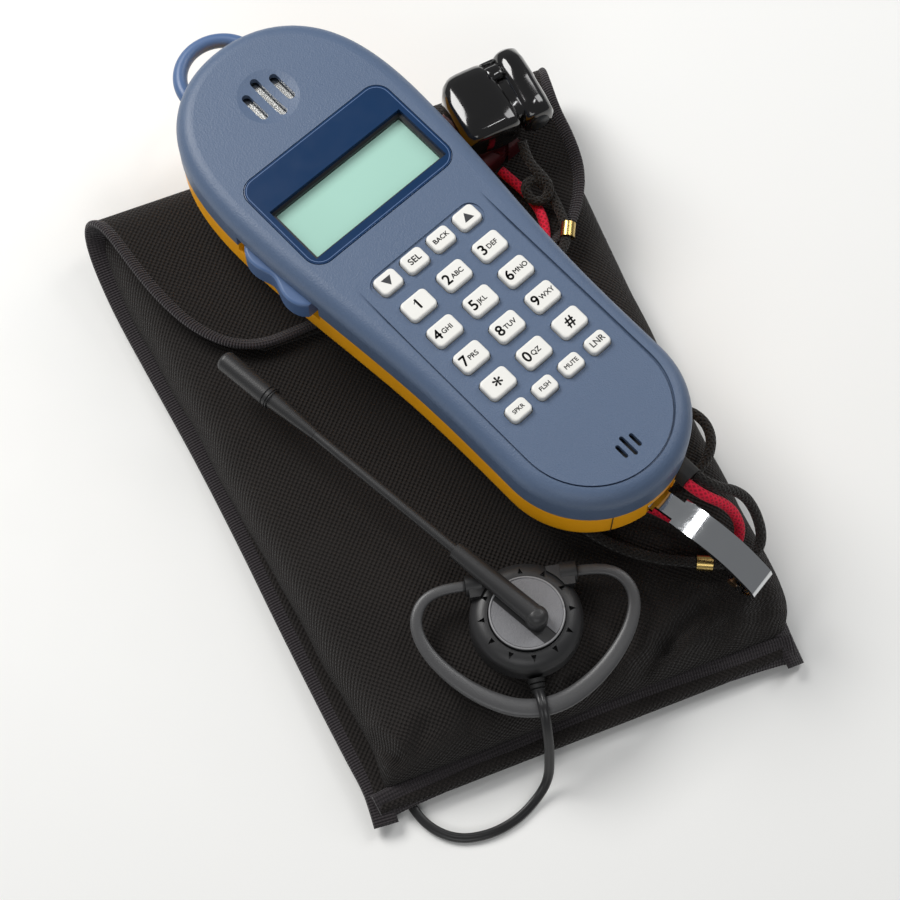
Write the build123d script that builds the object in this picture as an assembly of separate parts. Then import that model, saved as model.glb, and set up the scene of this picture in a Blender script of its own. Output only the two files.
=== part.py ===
from build123d import *
import math
import os

# A lineman's telephone test set kit: a keypad handset with a belt hook and a two-lead line cord,
# a headset with a boom microphone, and the padded pouch that both of them lie on.
# Frame: +Z up, floor at z = 0, origin under the middle of the pouch, +Y towards the pouch's flap.
# All sizes are in millimetres.

# ---------------------------------------------------------------- driving dimensions

# Pouch
POUCH_FOOT_Y = -130.0
POUCH_HEAD_Y = 130.0
POUCH_FOOT_HALF = 86.0
POUCH_HEAD_LEFT = -107.0
POUCH_HEAD_RIGHT = 88.0
FABRIC = 2.0
BACK_Z = 7.0
FRONT_TOP_Z = 27.0
SLOPE_Y = -108.0
GUSSET_END_Y = 112.0
RIM_WIDTH = 6.0
FLAP_EDGE_Y = 53.0
FLAP_CORNER = 32.0
FLAP_GAP = 0.4

# Handset, in its own frame: origin on the face under the key "2", +Y to the earpiece, +Z out of the face
HANDSET = Location((9.1, 33.9, 78.6), (0, 0, 21.3))
FOOT_RADIUS = 37.5
FOOT_Y = -71.0
HEAD_Y = 135.0
# Points of the right side and the directions in which they move when the outline is inset
SIDE_POINTS = [((38.2, -24), (1, 0)), ((45.2, 58), (1, 0)), ((35.2, 117.5), (0.8, 0.6))]
PARTING_Z = -16.0
REAR_Z = -38.6
SHELL_WALL = 2.6
FACE_EDGE_RADIUS = 7.0
REAR_EDGE_RADIUS = 11.0
FIT_GAP = 0.1
FACE_POCKET_HALF = 30.5
FACE_POCKET_DEPTH = 0.8
GROOVE_WIDTH = 0.9
GROOVE_DEPTH = 1.7
CAP_LEFT = -18.5
CAP_RIGHT = 22.0
CAP_Y = -97.0

# Keys
COLUMN_PITCH = 17.8
ROW_PITCH = 14.1
SMALL_PITCH = 13.1
NAV_ROW_Y = 14.4
FUNCTION_ROW_Y = -54.8
KEY_TOP = 1.4
KEY_FLOOR = -4.2
KEY_GAP = 0.4
KEY_FLANGE = 1.0
NUMBER_KEY = (12.0, 9.0)
NAV_KEY = (9.8, 8.0)
FUNCTION_KEY = (9.2, 6.8)

# Display
BEZEL_CENTRE_Y = 58.5
BEZEL_SIZE = (71.0, 46.0)
WINDOW_CENTRE_Y = 52.8
WINDOW_SIZE = (66.0, 27.5)
BEZEL_THICK = 1.6

# Earpiece and microphone slots
EAR_Y = 104.0
EAR_SLOT_PITCH = 6.8
MIC_Y = -91.0
MIC_SLOT_PITCH = 3.4

# Belt hook, in its own frame: origin on the pivot pin, -Y outwards
HOOK = HANDSET * Location((2.0, -103.5, -27.0), (0, 0, 9))
HOOK_WIDTH = 11.5
HOOK_DEPTH = 16.0
HOOK_THICK = 2.0
NECK_CUT = 1.8
PIN_RADIUS = 1.6
PIN_CLEARANCE = 0.05
GATE_Y = -42.5
GATE_Z = -11.5

# Hanging ring at the head
RING_RADIUS = 16.5
RING_TUBE = 2.9
RING_Y = 134.5
RING_Z = -22.0

# Mode switch on the left edge
SWITCH_Y = 49.5
SWITCH_SIZE = (6.0, 36.0, 9.5)
SWITCH_Z = -15.0
SWITCH_X = -43.9

# Casing screws
SCREWS = [(-28, 96), (28, 96), (-31.5, -40), (31.5, -40)]
BOSS_RADIUS = 3.0

# Line cord
CORD_DIAMETER = 4.0
FERRULE_RADIUS = 2.9
FERRULE_LENGTH = 6.0
RED_EXIT_X = 12.2
BLACK_EXIT_X = 17.0
CORD_EXIT_Z = -21.4
HANK_Z = 30.1
HANK_SIZE = (34.0, 80.0, 8.4)
RED_HANK = (0.0, -52.0)
BLACK_HANK = (0.0, 34.0)

# Test clips
BLACK_CLIP = Location((56.0, 111.5, 43.6), (0, 0, 6))
RED_CLIP = Location((44.5, 107.0, 29.8), (0, 0, 22))

# Headset, in its own frame: origin under the middle of the capsule, X along the ear hook's axis
HEADSET = Location((-9.5, -85.0, 27.5), (0, 0, -13.2))
CAPSULE_RADIUS = 21.0
CAPSULE_HEIGHT = 14.5
NOTCHES = 12
EAR_AXIS_Y = 14.5
EAR_AXIS_Z = 10.0
SOCKET_X = 20.5
EAR_HOOK_DROOP = 3.5
BOOM_ANGLE = 40.4
BOOM_Z = 18.5
BOOM_DROP = 2.6
ELBOW_BACK = 4.5
ARM_LENGTH = 34.4
ROD_END = 104.0
COLLAR_LENGTH = 22.0
BOOM_REACH = 151.8

# Headset lead
LEAD_DIAMETER = 3.2
RELIEF_FROM = (-14.5, -106.3, 31.0)
LEAD_HANK = Location((-61.0, -61.0, 0), (0, 0, 4))
LEAD_HANK_SIZE = (26.0, 66.0, 6.6)
PLUG = Location((-38.0, -64.0, 3.6), (0, 0, 5))


# ---------------------------------------------------------------- helpers

def prism(face, low, high):
    """The solid over a plan face between two heights."""
    return extrude(Pos(0, 0, low) * face, amount=high - low)


def block(size, centre):
    return Pos(*centre) * Box(*size)


def rod_x(radius, length, centre):
    return Pos(*centre) * Rot(0, 90, 0) * Cylinder(radius, length)


def rounded_block(width, depth, low, high, corner, top=0.0):
    """An upright block with rounded corners and, if asked, a rounded top edge."""
    solid = prism(RectangleRounded(width, depth, corner), low, high)
    if top:
        solid = fillet(solid.edges().group_by(Axis.Z)[-1], top)
    return solid


def slot_cutter(length, width, low, high):
    """A slot along Y."""
    return prism(Rot(0, 0, 90) * SlotOverall(length, width), low, high)


def corner_radii(points):
    """The largest tangent arc for each corner of a route: 0.45 of the shorter run over tan(half turn)."""
    radii = []
    for before, here, after in zip(points, points[1:], points[2:]):
        run_in = Vector(*here) - Vector(*before)
        run_out = Vector(*after) - Vector(*here)
        half_turn = math.radians(run_in.get_angle(run_out) / 2)
        radii.append(0.45 * min(run_in.length, run_out.length) / math.tan(half_turn))
    return radii


def cord_tube(name, points, diameter):
    """A round tube along straight runs joined by tangent arcs."""
    radii = corner_radii(points)
    path = FilletPolyline(*points, radius=radii)
    section = Plane(origin=path @ 0, z_dir=path % 0) * Circle(diameter / 2)
    tube = sweep(section, path=path)
    ideal = math.pi * (diameter / 2) ** 2 * path.length
    print(f"{name}: radii {[round(r, 1) for r in radii]}")
    print(f"{name}: length {path.length:.1f}, volume {tube.volume:.0f}, section x length {ideal:.0f}")
    return tube


def at_handset(x, y, z):
    """A point of the handset's frame, in the kit's frame."""
    return tuple((HANDSET * Pos(x, y, z)).position)


# ---------------------------------------------------------------- handset casing

def handset_outline(inset=0.0):
    """Plan of the handset: round foot, slight waist, wide round head."""
    radius = FOOT_RADIUS - inset
    side = [(x - inset * move_x, y - inset * move_y) for (x, y), (move_x, move_y) in SIDE_POINTS]
    right = Spline((radius, FOOT_Y), *side, (0, HEAD_Y - inset), tangents=[(0, 1), (-1, 0)])
    foot = ThreePointArc((-radius, FOOT_Y), (0, FOOT_Y - radius), (radius, FOOT_Y))
    return make_face(right + mirror(right, Plane.YZ) + foot)


def keypad_plan(half):
    """Plan of the recess round the keypad: straight sides and a round foot."""
    sides = Polyline((half, FOOT_Y), (half, 24), (-half, 24), (-half, FOOT_Y))
    foot = ThreePointArc((-half, FOOT_Y), (0, FOOT_Y - half), (half, FOOT_Y))
    return make_face(sides + foot)


def face_pocket():
    """The shallow recess round the keypad; its floor ramps up to nothing at the display."""
    profile = Plane.YZ * make_face(Polyline(
        (-120, -FACE_POCKET_DEPTH), (-10, -FACE_POCKET_DEPTH), (22, 0.01), (22, 3), (-120, 3),
        (-120, -FACE_POCKET_DEPTH)))
    ramp = extrude(profile, amount=50, both=True)
    return prism(keypad_plan(FACE_POCKET_HALF), -3, 3) & ramp


def face_groove():
    """The narrow groove along the recess's edge; it starts below the display as a point."""
    ring = keypad_plan(FACE_POCKET_HALF + GROOVE_WIDTH / 2) - keypad_plan(FACE_POCKET_HALF - GROOVE_WIDTH / 2)
    profile = Plane.YZ * make_face(Polyline(
        (-120, -GROOVE_DEPTH), (2, -GROOVE_DEPTH), (20, 0.01), (20, 3), (-120, 3), (-120, -GROOVE_DEPTH)))
    return prism(ring, -3, 3) & extrude(profile, amount=50, both=True)


def key_table():
    """Name, centre and size of every key."""
    keys = []
    for index, name in enumerate(["nav_down", "select", "back", "nav_up"]):
        keys.append((name, ((index - 1.5) * SMALL_PITCH, NAV_ROW_Y), NAV_KEY))
    for row, names in enumerate([["1", "2", "3"], ["4", "5", "6"], ["7", "8", "9"], ["star", "0", "hash"]]):
        for column, name in enumerate(names):
            keys.append((name, ((column - 1) * COLUMN_PITCH, -row * ROW_PITCH), NUMBER_KEY))
    for index, name in enumerate(["speaker", "flash", "mute", "last_number"]):
        keys.append((name, ((index - 1.5) * SMALL_PITCH, FUNCTION_ROW_Y), FUNCTION_KEY))
    return keys


def front_shell():
    shell = prism(handset_outline(), PARTING_Z, 0)
    shell = fillet(shell.edges().group_by(Axis.Z)[-1], FACE_EDGE_RADIUS)
    cavity = prism(handset_outline(SHELL_WALL), PARTING_Z - 1, -SHELL_WALL - 0.4)
    shell -= cavity
    shell -= face_pocket()
    shell -= face_groove()
    for _, centre, size in key_table():
        hole = RectangleRounded(size[0] + 2 * KEY_GAP, size[1] + 2 * KEY_GAP, 2.4)
        shell -= prism(Pos(*centre) * hole, -SHELL_WALL - 2, 2)
    shell -= Pos(0, NAV_ROW_Y, 0) * rounded_block(53, 11, -0.7, 2, 5)
    bezel_seat = rounded_block(BEZEL_SIZE[0] + 0.4, BEZEL_SIZE[1] + 0.4, -BEZEL_THICK - 0.1, 2, 7)
    shell -= Pos(0, BEZEL_CENTRE_Y, 0) * bezel_seat
    shell -= block((WINDOW_SIZE[0] + 1, WINDOW_SIZE[1] + 1, 10), (0, WINDOW_CENTRE_Y, -3))
    shell -= Pos(0, EAR_Y, 60) * Sphere(61.2)
    for index, length in enumerate([13.5, 20.0, 13.5]):
        cutter = slot_cutter(length, 3.4, -6, 2)
        shell -= Pos((index - 1) * EAR_SLOT_PITCH, EAR_Y, 0) * cutter
    for index, length in enumerate([6.0, 9.0, 6.0]):
        cutter = slot_cutter(length, 1.7, -6, 2)
        shell -= Pos((index - 1) * MIC_SLOT_PITCH, MIC_Y, 0) * cutter
    shell -= switch_pocket()
    for x, y in SCREWS:
        boss = Pos(x, y, -15.5) * (Cylinder(BOSS_RADIUS, 25) - Pos(0, 0, -4) * Cylinder(1.45, 20))
        shell += boss
    return shell


def rear_hull():
    hull = prism(handset_outline(0.3), REAR_Z, PARTING_Z - 0.15)
    hull = fillet(hull.edges().group_by(Axis.Z)[0], REAR_EDGE_RADIUS)
    inside = prism(handset_outline(0.3 + SHELL_WALL), REAR_Z + SHELL_WALL, PARTING_Z + 1)
    inside = fillet(inside.edges().group_by(Axis.Z)[0], REAR_EDGE_RADIUS - SHELL_WALL)
    return hull - inside


def cap_region(gap):
    """The foot of the rear casing, which comes off as a separate end cap."""
    width = CAP_RIGHT - CAP_LEFT + 2 * gap
    return block((width, 30, 40), ((CAP_LEFT + CAP_RIGHT) / 2, CAP_Y - 15 + gap, PARTING_Z - 20))


def rear_shell():
    shell = rear_hull() - cap_region(FIT_GAP)
    shell -= hanging_ring(RING_TUBE + FIT_GAP)
    shell -= switch_pocket()
    for x, y in SCREWS:
        shell -= Pos(x, y, REAR_Z + 3.5) * Cylinder(2.9, 9)
    return shell


def end_cap():
    cap = rear_hull() & cap_region(0)
    cap -= block((HOOK_WIDTH + 3.2, 14, 12), (2.6, -106, -27))
    for side in (-1, 1):
        web = block((1.6, 10, 8), (2.0 + side * (HOOK_WIDTH / 2 + 2.2), -101.5, -28.9))
        cap += web & prism(handset_outline(1.0), -34, PARTING_Z - 1)
    cap -= gland_body(FIT_GAP)
    cap -= HANDSET.inverse() * HOOK * rod_x(PIN_RADIUS + 0.02, 24, (0, 0, 0))
    return cap


def hanging_ring(tube=RING_TUBE):
    """A round-section loop with two short legs through the head of the rear casing."""
    path = Polyline((RING_RADIUS, RING_Y - 12, RING_Z), (RING_RADIUS, RING_Y, RING_Z))
    arc = ThreePointArc((RING_RADIUS, RING_Y, RING_Z), (0, RING_Y + RING_RADIUS, RING_Z),
                        (-RING_RADIUS, RING_Y, RING_Z))
    back = Polyline((-RING_RADIUS, RING_Y, RING_Z), (-RING_RADIUS, RING_Y - 12, RING_Z))
    route = path + arc + back
    section = Plane(origin=(RING_RADIUS, RING_Y - 12, RING_Z), z_dir=(0, 1, 0)) * Circle(tube)
    return sweep(section, path=route)


# ---------------------------------------------------------------- handset trim and electronics

def display_bezel():
    frame = Pos(0, BEZEL_CENTRE_Y, 0) * rounded_block(BEZEL_SIZE[0], BEZEL_SIZE[1], -BEZEL_THICK, 0.1, 6.8, 0.3)
    frame += block((WINDOW_SIZE[0] + 0.6, WINDOW_SIZE[1] + 0.6, 3.0), (0, WINDOW_CENTRE_Y, -2.6))
    return frame - block((WINDOW_SIZE[0] - 1, WINDOW_SIZE[1] - 1, 20), (0, WINDOW_CENTRE_Y, 0))


def lcd_panel():
    return block((WINDOW_SIZE[0] + 3, WINDOW_SIZE[1] + 3, 1.8), (0, WINDOW_CENTRE_Y, -5.2))


def keypad_mat():
    mat = rounded_block(54, 88, -6.4, -5.6, 4)
    return Pos(0, -20.5, 0) * mat


def circuit_board():
    board = prism(handset_outline(SHELL_WALL + 3), -9.4, -7.8)
    for x, y in SCREWS:
        board -= Pos(x, y, -8.6) * Cylinder(BOSS_RADIUS + 0.6, 6)
    board -= block((90, 60, 8), (0, 116, -8.5))
    board -= Pos(0, MIC_Y, 0) * rounded_block(15, 15, -12, -5, 7)
    return board


def earpiece_speaker():
    cone = Pos(0, EAR_Y, -6.6) * Cylinder(17, 5)
    magnet = Pos(0, EAR_Y, -12.6) * Cylinder(9, 7)
    return cone + magnet


def microphone_capsule():
    return Pos(0, MIC_Y, -6.4) * Cylinder(5, 5.6)


def battery():
    return Pos(0, 30, 0) * rounded_block(26.5, 48.5, -35.6, -18.4, 2)


def shell_screws():
    """Four pan-head screws sunk in the rear casing."""
    head = Pos(0, 0, REAR_Z + 2) * Cylinder(2.7, 1.8)
    shank = Pos(0, 0, REAR_Z + 8.5) * Cylinder(1.4, 12)
    recess = block((3.2, 0.7, 0.8), (0, 0, REAR_Z + 1.2)) + block((0.7, 3.2, 0.8), (0, 0, REAR_Z + 1.2))
    screw = head + shank - recess
    return [Pos(x, y, 0) * screw for x, y in SCREWS]


def gland_body(gap=0.0):
    """Rubber gland that both leads leave through."""
    width = BLACK_EXIT_X - RED_EXIT_X + CORD_DIAMETER
    plan = RectangleRounded(width + 2 * gap, 6.4 + 2 * gap, 2.9)
    solid = extrude(Plane.XZ.offset(96) * plan, amount=15)
    return Pos((RED_EXIT_X + BLACK_EXIT_X) / 2, 0, CORD_EXIT_Z) * solid


def switch_pocket():
    size = SWITCH_SIZE
    return block((size[0] + 6, size[1] + 7, size[2] + 0.8), (SWITCH_X + 2.5, SWITCH_Y, SWITCH_Z))


def mode_switch():
    """A long thumb slider whose outer face waves: a swelling near each end and a dip between."""
    half = SWITCH_SIZE[1] / 2
    root = SWITCH_X + 3.7
    wave = [(SWITCH_X - 0.6, -half), (SWITCH_X - 4.0, 5 - half), (SWITCH_X - 4.1, -7), (SWITCH_X - 2.2, 0)]
    wave += [(x, -y) for x, y in reversed(wave[:-1])]
    outline = Spline(*wave) + Polyline(wave[-1], (root, half), (root, -half), wave[0])
    bar = prism(Pos(0, SWITCH_Y) * make_face(outline), SWITCH_Z - SWITCH_SIZE[2] / 2, SWITCH_Z + SWITCH_SIZE[2] / 2)
    return fillet(bar.edges().group_by(Axis.Z)[-1].sort_by(Axis.X)[:1], 1.2)


# ---------------------------------------------------------------- keys

def key(size):
    """A pillow-topped key with a flange that keeps it under the face."""
    cap = rounded_block(size[0], size[1], KEY_FLOOR, KEY_TOP, 2.0, 0.9)
    flange = rounded_block(size[0] + 2 * KEY_FLANGE, size[1] + 2 * KEY_FLANGE, KEY_FLOOR, KEY_FLOOR + 0.8, 2.4)
    return cap + flange


# ---------------------------------------------------------------- belt hook

def hook_curve(offset):
    """The hook's side view, offset from its middle line: a straight back that curls over to a short lip."""
    middle = [(-14.0, 0.0), (-27.0, -0.6), (-37.5, -3.0), (-46.0, -7.2), (-51.0, -12.0), (-49.0, -15.6), (-44.0, -16.0)]
    turns = [(0, 1), (-0.09, 1), (-0.33, 0.94), (-0.6, 0.8), (-0.98, 0.2), (-0.5, -0.87), (0, -1)]
    points = [(y + offset * move_y, z + offset * move_z) for (y, z), (move_y, move_z) in zip(middle, turns)]
    return Spline(*points, tangents=[(-1, 0), (1, 0)])


def belt_hook():
    """A bent flat strip: eye, straight back with a narrower neck, round nose and short lip."""
    half = HOOK_THICK / 2
    outer, inner = hook_curve(half), hook_curve(-half)
    top = Line((-3, half), outer @ 0)
    lip = Polyline(outer @ 1, (-41, -HOOK_DEPTH - half), (-41, -HOOK_DEPTH + half), inner @ 1)
    root = Polyline(inner @ 0, (-3, -half), (-3, half))
    strip = extrude(Plane.YZ * make_face(top + outer + lip + inner + root), amount=HOOK_WIDTH / 2, both=True)
    for side in (-1, 1):
        strip -= block((NECK_CUT, 7.5, 4), (side * (HOOK_WIDTH - NECK_CUT) / 2, -8.5, 0))
    strip += rod_x(3.4, HOOK_WIDTH, (0, 0, 0))
    for side in (-1, 1):
        ear = block((1.4, 6.5, 7), (side * (HOOK_WIDTH / 2 - 0.7), GATE_Y - 0.8, GATE_Z - 2.8))
        strip += ear
    strip -= rod_x(PIN_RADIUS + PIN_CLEARANCE, HOOK_WIDTH + 4, (0, 0, 0))
    return strip - rod_x(1.25, HOOK_WIDTH + 4, (0, GATE_Y, GATE_Z))


def hook_gate():
    """The tapering spring leaf between the lip and the back of the hook."""
    length = 33.0
    leaf = make_face(Polyline((-3.6, 0), (-3.6, 12), (-1.2, length), (1.2, length), (3.6, 12), (3.6, 0), (-3.6, 0)))
    plate = prism(leaf, -0.7, 0.7)
    plate += rod_x(2.3, 7.2, (0, 0, 0))
    plate += block((7.2, 9, 2.4), (0, 8, 0))
    tilt = math.degrees(math.atan2(-GATE_Z - HOOK_THICK / 2 - 1.6, length))
    gate = Pos(0, GATE_Y, GATE_Z) * Rot(tilt, 0, 0) * plate
    return gate - rod_x(1.25, 30, (0, GATE_Y, GATE_Z))


def hook_pivot_pin():
    return rod_x(PIN_RADIUS, HOOK_WIDTH + 6, (0, 0, 0))


def gate_pin():
    pin = rod_x(1.2, HOOK_WIDTH + 0.8, (0, GATE_Y, GATE_Z))
    for side in (-1, 1):
        pin += rod_x(2.0, 0.7, (side * (HOOK_WIDTH / 2 + 0.4), GATE_Y, GATE_Z))
    return pin


# ---------------------------------------------------------------- line cord

# Each lead runs from the gland round the belt hook to its hank under the handset,
# and from the hank up to its test clip.
RED_OUT = [
    at_handset(RED_EXIT_X, -111.0, CORD_EXIT_Z), at_handset(RED_EXIT_X + 0.6, -117.5, CORD_EXIT_Z),
    (74.2, -75.2, 46.8), (77.5, -81.0, 38.5), (75.5, -86.0, 32.4), (69.5, -86.8, 30.8),
    (63.5, -80.5, 30.8), (58.5, -70.5, 31.0), (52.0, -62.5, 32.0), (44.0, -56.0, 33.6),
]
BLACK_OUT = [
    at_handset(BLACK_EXIT_X, -111.0, CORD_EXIT_Z), at_handset(BLACK_EXIT_X + 0.6, -117.5, CORD_EXIT_Z),
    (81.0, -72.2, 46.8), (85.0, -80.0, 38.0), (84.0, -89.0, 32.2), (76.5, -94.0, 30.6),
    (66.5, -91.0, 30.5), (55.0, -85.5, 30.5), (43.0, -79.0, 30.5), (32.0, -70.0, 30.8),
    at_handset(-20.5, -90.0, -46.8), at_handset(-23.0, -73.0, -46.0), at_handset(-23.5, -52.0, -45.4),
    at_handset(-22.0, -30.0, -45.0), at_handset(-18.0, -12.0, -44.8), at_handset(-11.5, 0.0, -44.6),
]
BIGHT = [(57.0, -53.0, 33.6), (67.0, -55.5, 32.0), (77.0, -52.5, 30.5), (83.5, -45.0, 30.5), (84.5, -36.0, 30.5),
         (79.0, -28.5, 31.5), (69.0, -25.0, 33.0)]
RED_IN = [(28.0, 20.0, 33.6), (38.0, 27.0, 32.4), (46.0, 38.0, 32.0), (53.0, 49.0, 32.0),
          (58.5, 60.0, 32.4), (60.0, 70.0, 33.0), (56.5, 81.0, 34.4), (51.2, 90.5, 36.0)]
BLACK_IN = [(20.5, 41.0, 34.4), (32.0, 45.5, 36.8), (44.0, 46.5, 37.4), (55.0, 45.5, 36.4), (63.5, 51.5, 34.0),
            (69.0, 62.0, 35.0), (69.5, 74.0, 38.5), (66.0, 84.5, 44.5), (61.0, 93.0, 50.0)]


def hank(centre):
    """The outer shape of one lead's wound-up surplus."""
    plan = Rot(0, 0, 90) * SlotOverall(HANK_SIZE[1], HANK_SIZE[0])
    core = Rot(0, 0, 90) * SlotOverall(HANK_SIZE[1] - 20, HANK_SIZE[0] - 20)
    solid = prism(plan - core, HANK_Z, HANK_Z + HANK_SIZE[2])
    place = Location(at_handset(centre[0], centre[1], 0), (0, 0, HANDSET.orientation.Z))
    return Pos(0, 0, -place.position.Z) * place * solid


def line_cord_hanks():
    return [hank(RED_HANK), hank(BLACK_HANK)]


def ferrule(route, index):
    """A brass crimp sleeve round a lead, in the middle of one run of its route."""
    start = Vector(*route[index])
    end = Vector(*route[index + 1])
    frame = Plane(origin=(start + end) * 0.5, z_dir=end - start)
    return frame * (Cylinder(FERRULE_RADIUS, FERRULE_LENGTH) - Cylinder(CORD_DIAMETER / 2 + 0.02, 2 * FERRULE_LENGTH))


# ---------------------------------------------------------------- test clips

def clip_half(width, length, height, side):
    """One insulated half of a test clip, rounded all over, with a stepped mouth at +Y."""
    half = prism(Rectangle(width, length), 0, height)
    corner = half.edges().filter_by(Axis.Z).group_by(Axis.Y)[-1].sort_by(Axis.X)[-1 if side > 0 else 0]
    half = fillet([corner], width * 0.3)
    half = fillet(half.edges().group_by(Axis.Z)[-1], min(width * 0.36, height * 0.3))
    inner = -side * width / 2
    half -= block((width * 0.36, 16.0 * width / 24, height + 2), (inner, length / 2, height / 2))
    for index in range(2):
        half -= block((width * 0.6, 1.6, height + 2), (inner, length / 2 - 5.2 - index * 3.2, height / 2 + 3))
    return half


def clip_halves(width, length, height, gap):
    """Body at the left and the moving jaw at the right of a vertical pin near the wire end."""
    body_width = width * 0.62
    jaw_width = width - body_width - gap
    pin_y = -length / 2 + 3.4
    body = Pos(-width / 2 + body_width / 2, 0, 0) * clip_half(body_width, length, height, -1)
    jaw = Pos(width / 2 - jaw_width / 2, 0, 0) * clip_half(jaw_width, length, height, 1)
    pin_x = -width / 2 + body_width + gap / 2
    lug = Pos(pin_x + 1.0, pin_y, height / 2) * Cylinder(3.2, height * 0.34)
    room = Pos(pin_x + 1.0, pin_y, height / 2) * Cylinder(3.6, height * 0.34 + 0.8)
    post = Pos(pin_x + 1.0, pin_y, height / 2) * Cylinder(1.2, height - 2)
    body = body - room
    bridge = block((6.5, 5.0, height * 0.34), (pin_x + 4.6, pin_y, height / 2))
    jaw_sweep = Pos(pin_x + 1.0, pin_y, height / 2) * Cylinder(4.2, height + 4)
    ears = Pos(pin_x + 1.0, pin_y, height / 2) * (Cylinder(2.8, height - 1) - Cylinder(2.8, height * 0.34 + 0.8))
    jaw = jaw - jaw_sweep
    jaw = jaw + lug + bridge
    body = body + ears + post
    jaw = jaw - Pos(pin_x + 1.0, pin_y, height / 2) * Cylinder(1.25, height + 4)
    jaw = jaw - Pos(pin_x + 1.0, pin_y, height / 2) * (Cylinder(3.3, height + 4) - Cylinder(3.3, height * 0.34 + 0.01))
    return body, jaw


# ---------------------------------------------------------------- headset

def ear_capsule():
    """Round housing with a domed rim, two ear-hook sockets and the lead's outlet."""
    body = Pos(0, 0, CAPSULE_HEIGHT / 2 - 1) * Cylinder(CAPSULE_RADIUS, CAPSULE_HEIGHT - 2)
    body = fillet(body.edges().group_by(Axis.Z)[-1], 6.0)
    body -= Pos(0, 0, 2.0) * Cylinder(CAPSULE_RADIUS - 3, 9.0)
    body -= Pos(0, 0, CAPSULE_HEIGHT - 3) * Cylinder(14.4, 4)
    body -= Pos(0, 0, 8) * Cylinder(3.05, 8)
    arrow = make_face(Polyline((15.6, -1.0), (18.2, 0), (15.6, 1.0), (15.6, -1.0)))
    for index in range(NOTCHES):
        body -= Rot(0, 0, index * 360 / NOTCHES) * prism(arrow, 10.2, CAPSULE_HEIGHT)
    for side in (-1, 1):
        arm = block((10, 8, 7), (side * (SOCKET_X - 6), EAR_AXIS_Y - 1.5, EAR_AXIS_Z - 0.5))
        body += arm - Cylinder(CAPSULE_RADIUS - 3, 40)
        body += rod_x(3.9, 6, (side * (SOCKET_X - 3), EAR_AXIS_Y, EAR_AXIS_Z))
        body -= rod_x(2.05, 5.2, (side * (SOCKET_X - 2.5), EAR_AXIS_Y, EAR_AXIS_Z))
    return body


def headset_speaker():
    return Pos(0, 0, 3.2) * Cylinder(16.5, 5.2)


def ear_hook():
    """The D-shaped loop that goes round the ear, with its two pins in the capsule's sockets."""
    drop = EAR_HOOK_DROOP
    low = EAR_AXIS_Z - drop
    half = [(SOCKET_X - 5, EAR_AXIS_Y, EAR_AXIS_Z), (SOCKET_X + 8, EAR_AXIS_Y, EAR_AXIS_Z),
            (37.5, 10.8, EAR_AXIS_Z - 0.4), (41.2, 2.5, EAR_AXIS_Z - 1.0), (38.0, -7.5, EAR_AXIS_Z - 1.8),
            (31.0, -17.0, low + 1.0), (22.0, -25.0, low + 0.5), (12.5, -30.5, low + 0.2), (4.5, -32.8, low)]
    route = half + [(-x, y, z) for x, y, z in reversed(half)]
    radii = corner_radii(route)
    path = FilletPolyline(*route, radius=radii)
    section = Plane(origin=path @ 0, z_dir=path % 0) * Circle(2.0)
    return sweep(section, path=path)


def boom_hub():
    """The turning disc in the capsule's face, with the elbow that the boom comes out of."""
    disc = Pos(0, 0, CAPSULE_HEIGHT - 2.4) * Cylinder(14.0, 3.6)
    spindle = Pos(0, 0, CAPSULE_HEIGHT - 6) * Cylinder(3.0, 4)
    angle = math.radians(BOOM_ANGLE)
    elbow = Pos(ELBOW_BACK * math.sin(angle), -ELBOW_BACK * math.cos(angle), BOOM_Z - 0.5) * Cylinder(4.1, 9)
    elbow = fillet(elbow.edges().group_by(Axis.Z)[-1], 3.2)
    arm = boom_frame() * Pos(0, 0, (ARM_LENGTH - ELBOW_BACK) / 2) * Cone(3.9, 3.4, ARM_LENGTH + ELBOW_BACK)
    return disc + spindle + elbow + arm


def boom_frame():
    """Plane at the hub with its normal along the boom."""
    angle = math.radians(BOOM_ANGLE)
    direction = (-math.sin(angle) * BOOM_REACH, math.cos(angle) * BOOM_REACH, -BOOM_DROP)
    return Plane(origin=(0, 0, BOOM_Z), z_dir=direction)


def boom_rod():
    length = ROD_END - ARM_LENGTH - 0.1
    return boom_frame() * Pos(0, 0, ROD_END - length / 2) * Cylinder(1.9, length)


def boom_mic():
    """Tapered collar, two grooves and the round microphone head."""
    start = ROD_END + 0.1
    collar = Pos(0, 0, start + COLLAR_LENGTH / 2) * Cone(2.0, 3.4, COLLAR_LENGTH)
    head_length = BOOM_REACH - start - COLLAR_LENGTH
    head = Pos(0, 0, BOOM_REACH - head_length / 2) * Cylinder(4.1, head_length)
    head = fillet(head.edges().group_by(Axis.Z)[-1], 2.0)
    mic = collar + head
    for along in (0.6, 2.4):
        mic -= Pos(0, 0, start + COLLAR_LENGTH + along) * (Cylinder(5, 0.6) - Cylinder(3.6, 0.8))
    return boom_frame() * mic


def strain_relief():
    """Ribbed rubber sleeve on the lead below the capsule."""
    along = Vector(*LEAD[0]) - Vector(*RELIEF_FROM)
    axis = Plane(origin=RELIEF_FROM, z_dir=along)
    sleeve = axis * Pos(0, 0, along.length / 2) * Cone(3.2, 2.1, along.length)
    for index in range(3):
        sleeve -= axis * Pos(0, 0, 1.8 + index * 1.9) * (Cylinder(5, 0.6) - Cylinder(1.9, 0.8))
    return sleeve


# ---------------------------------------------------------------- headset lead

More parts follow.
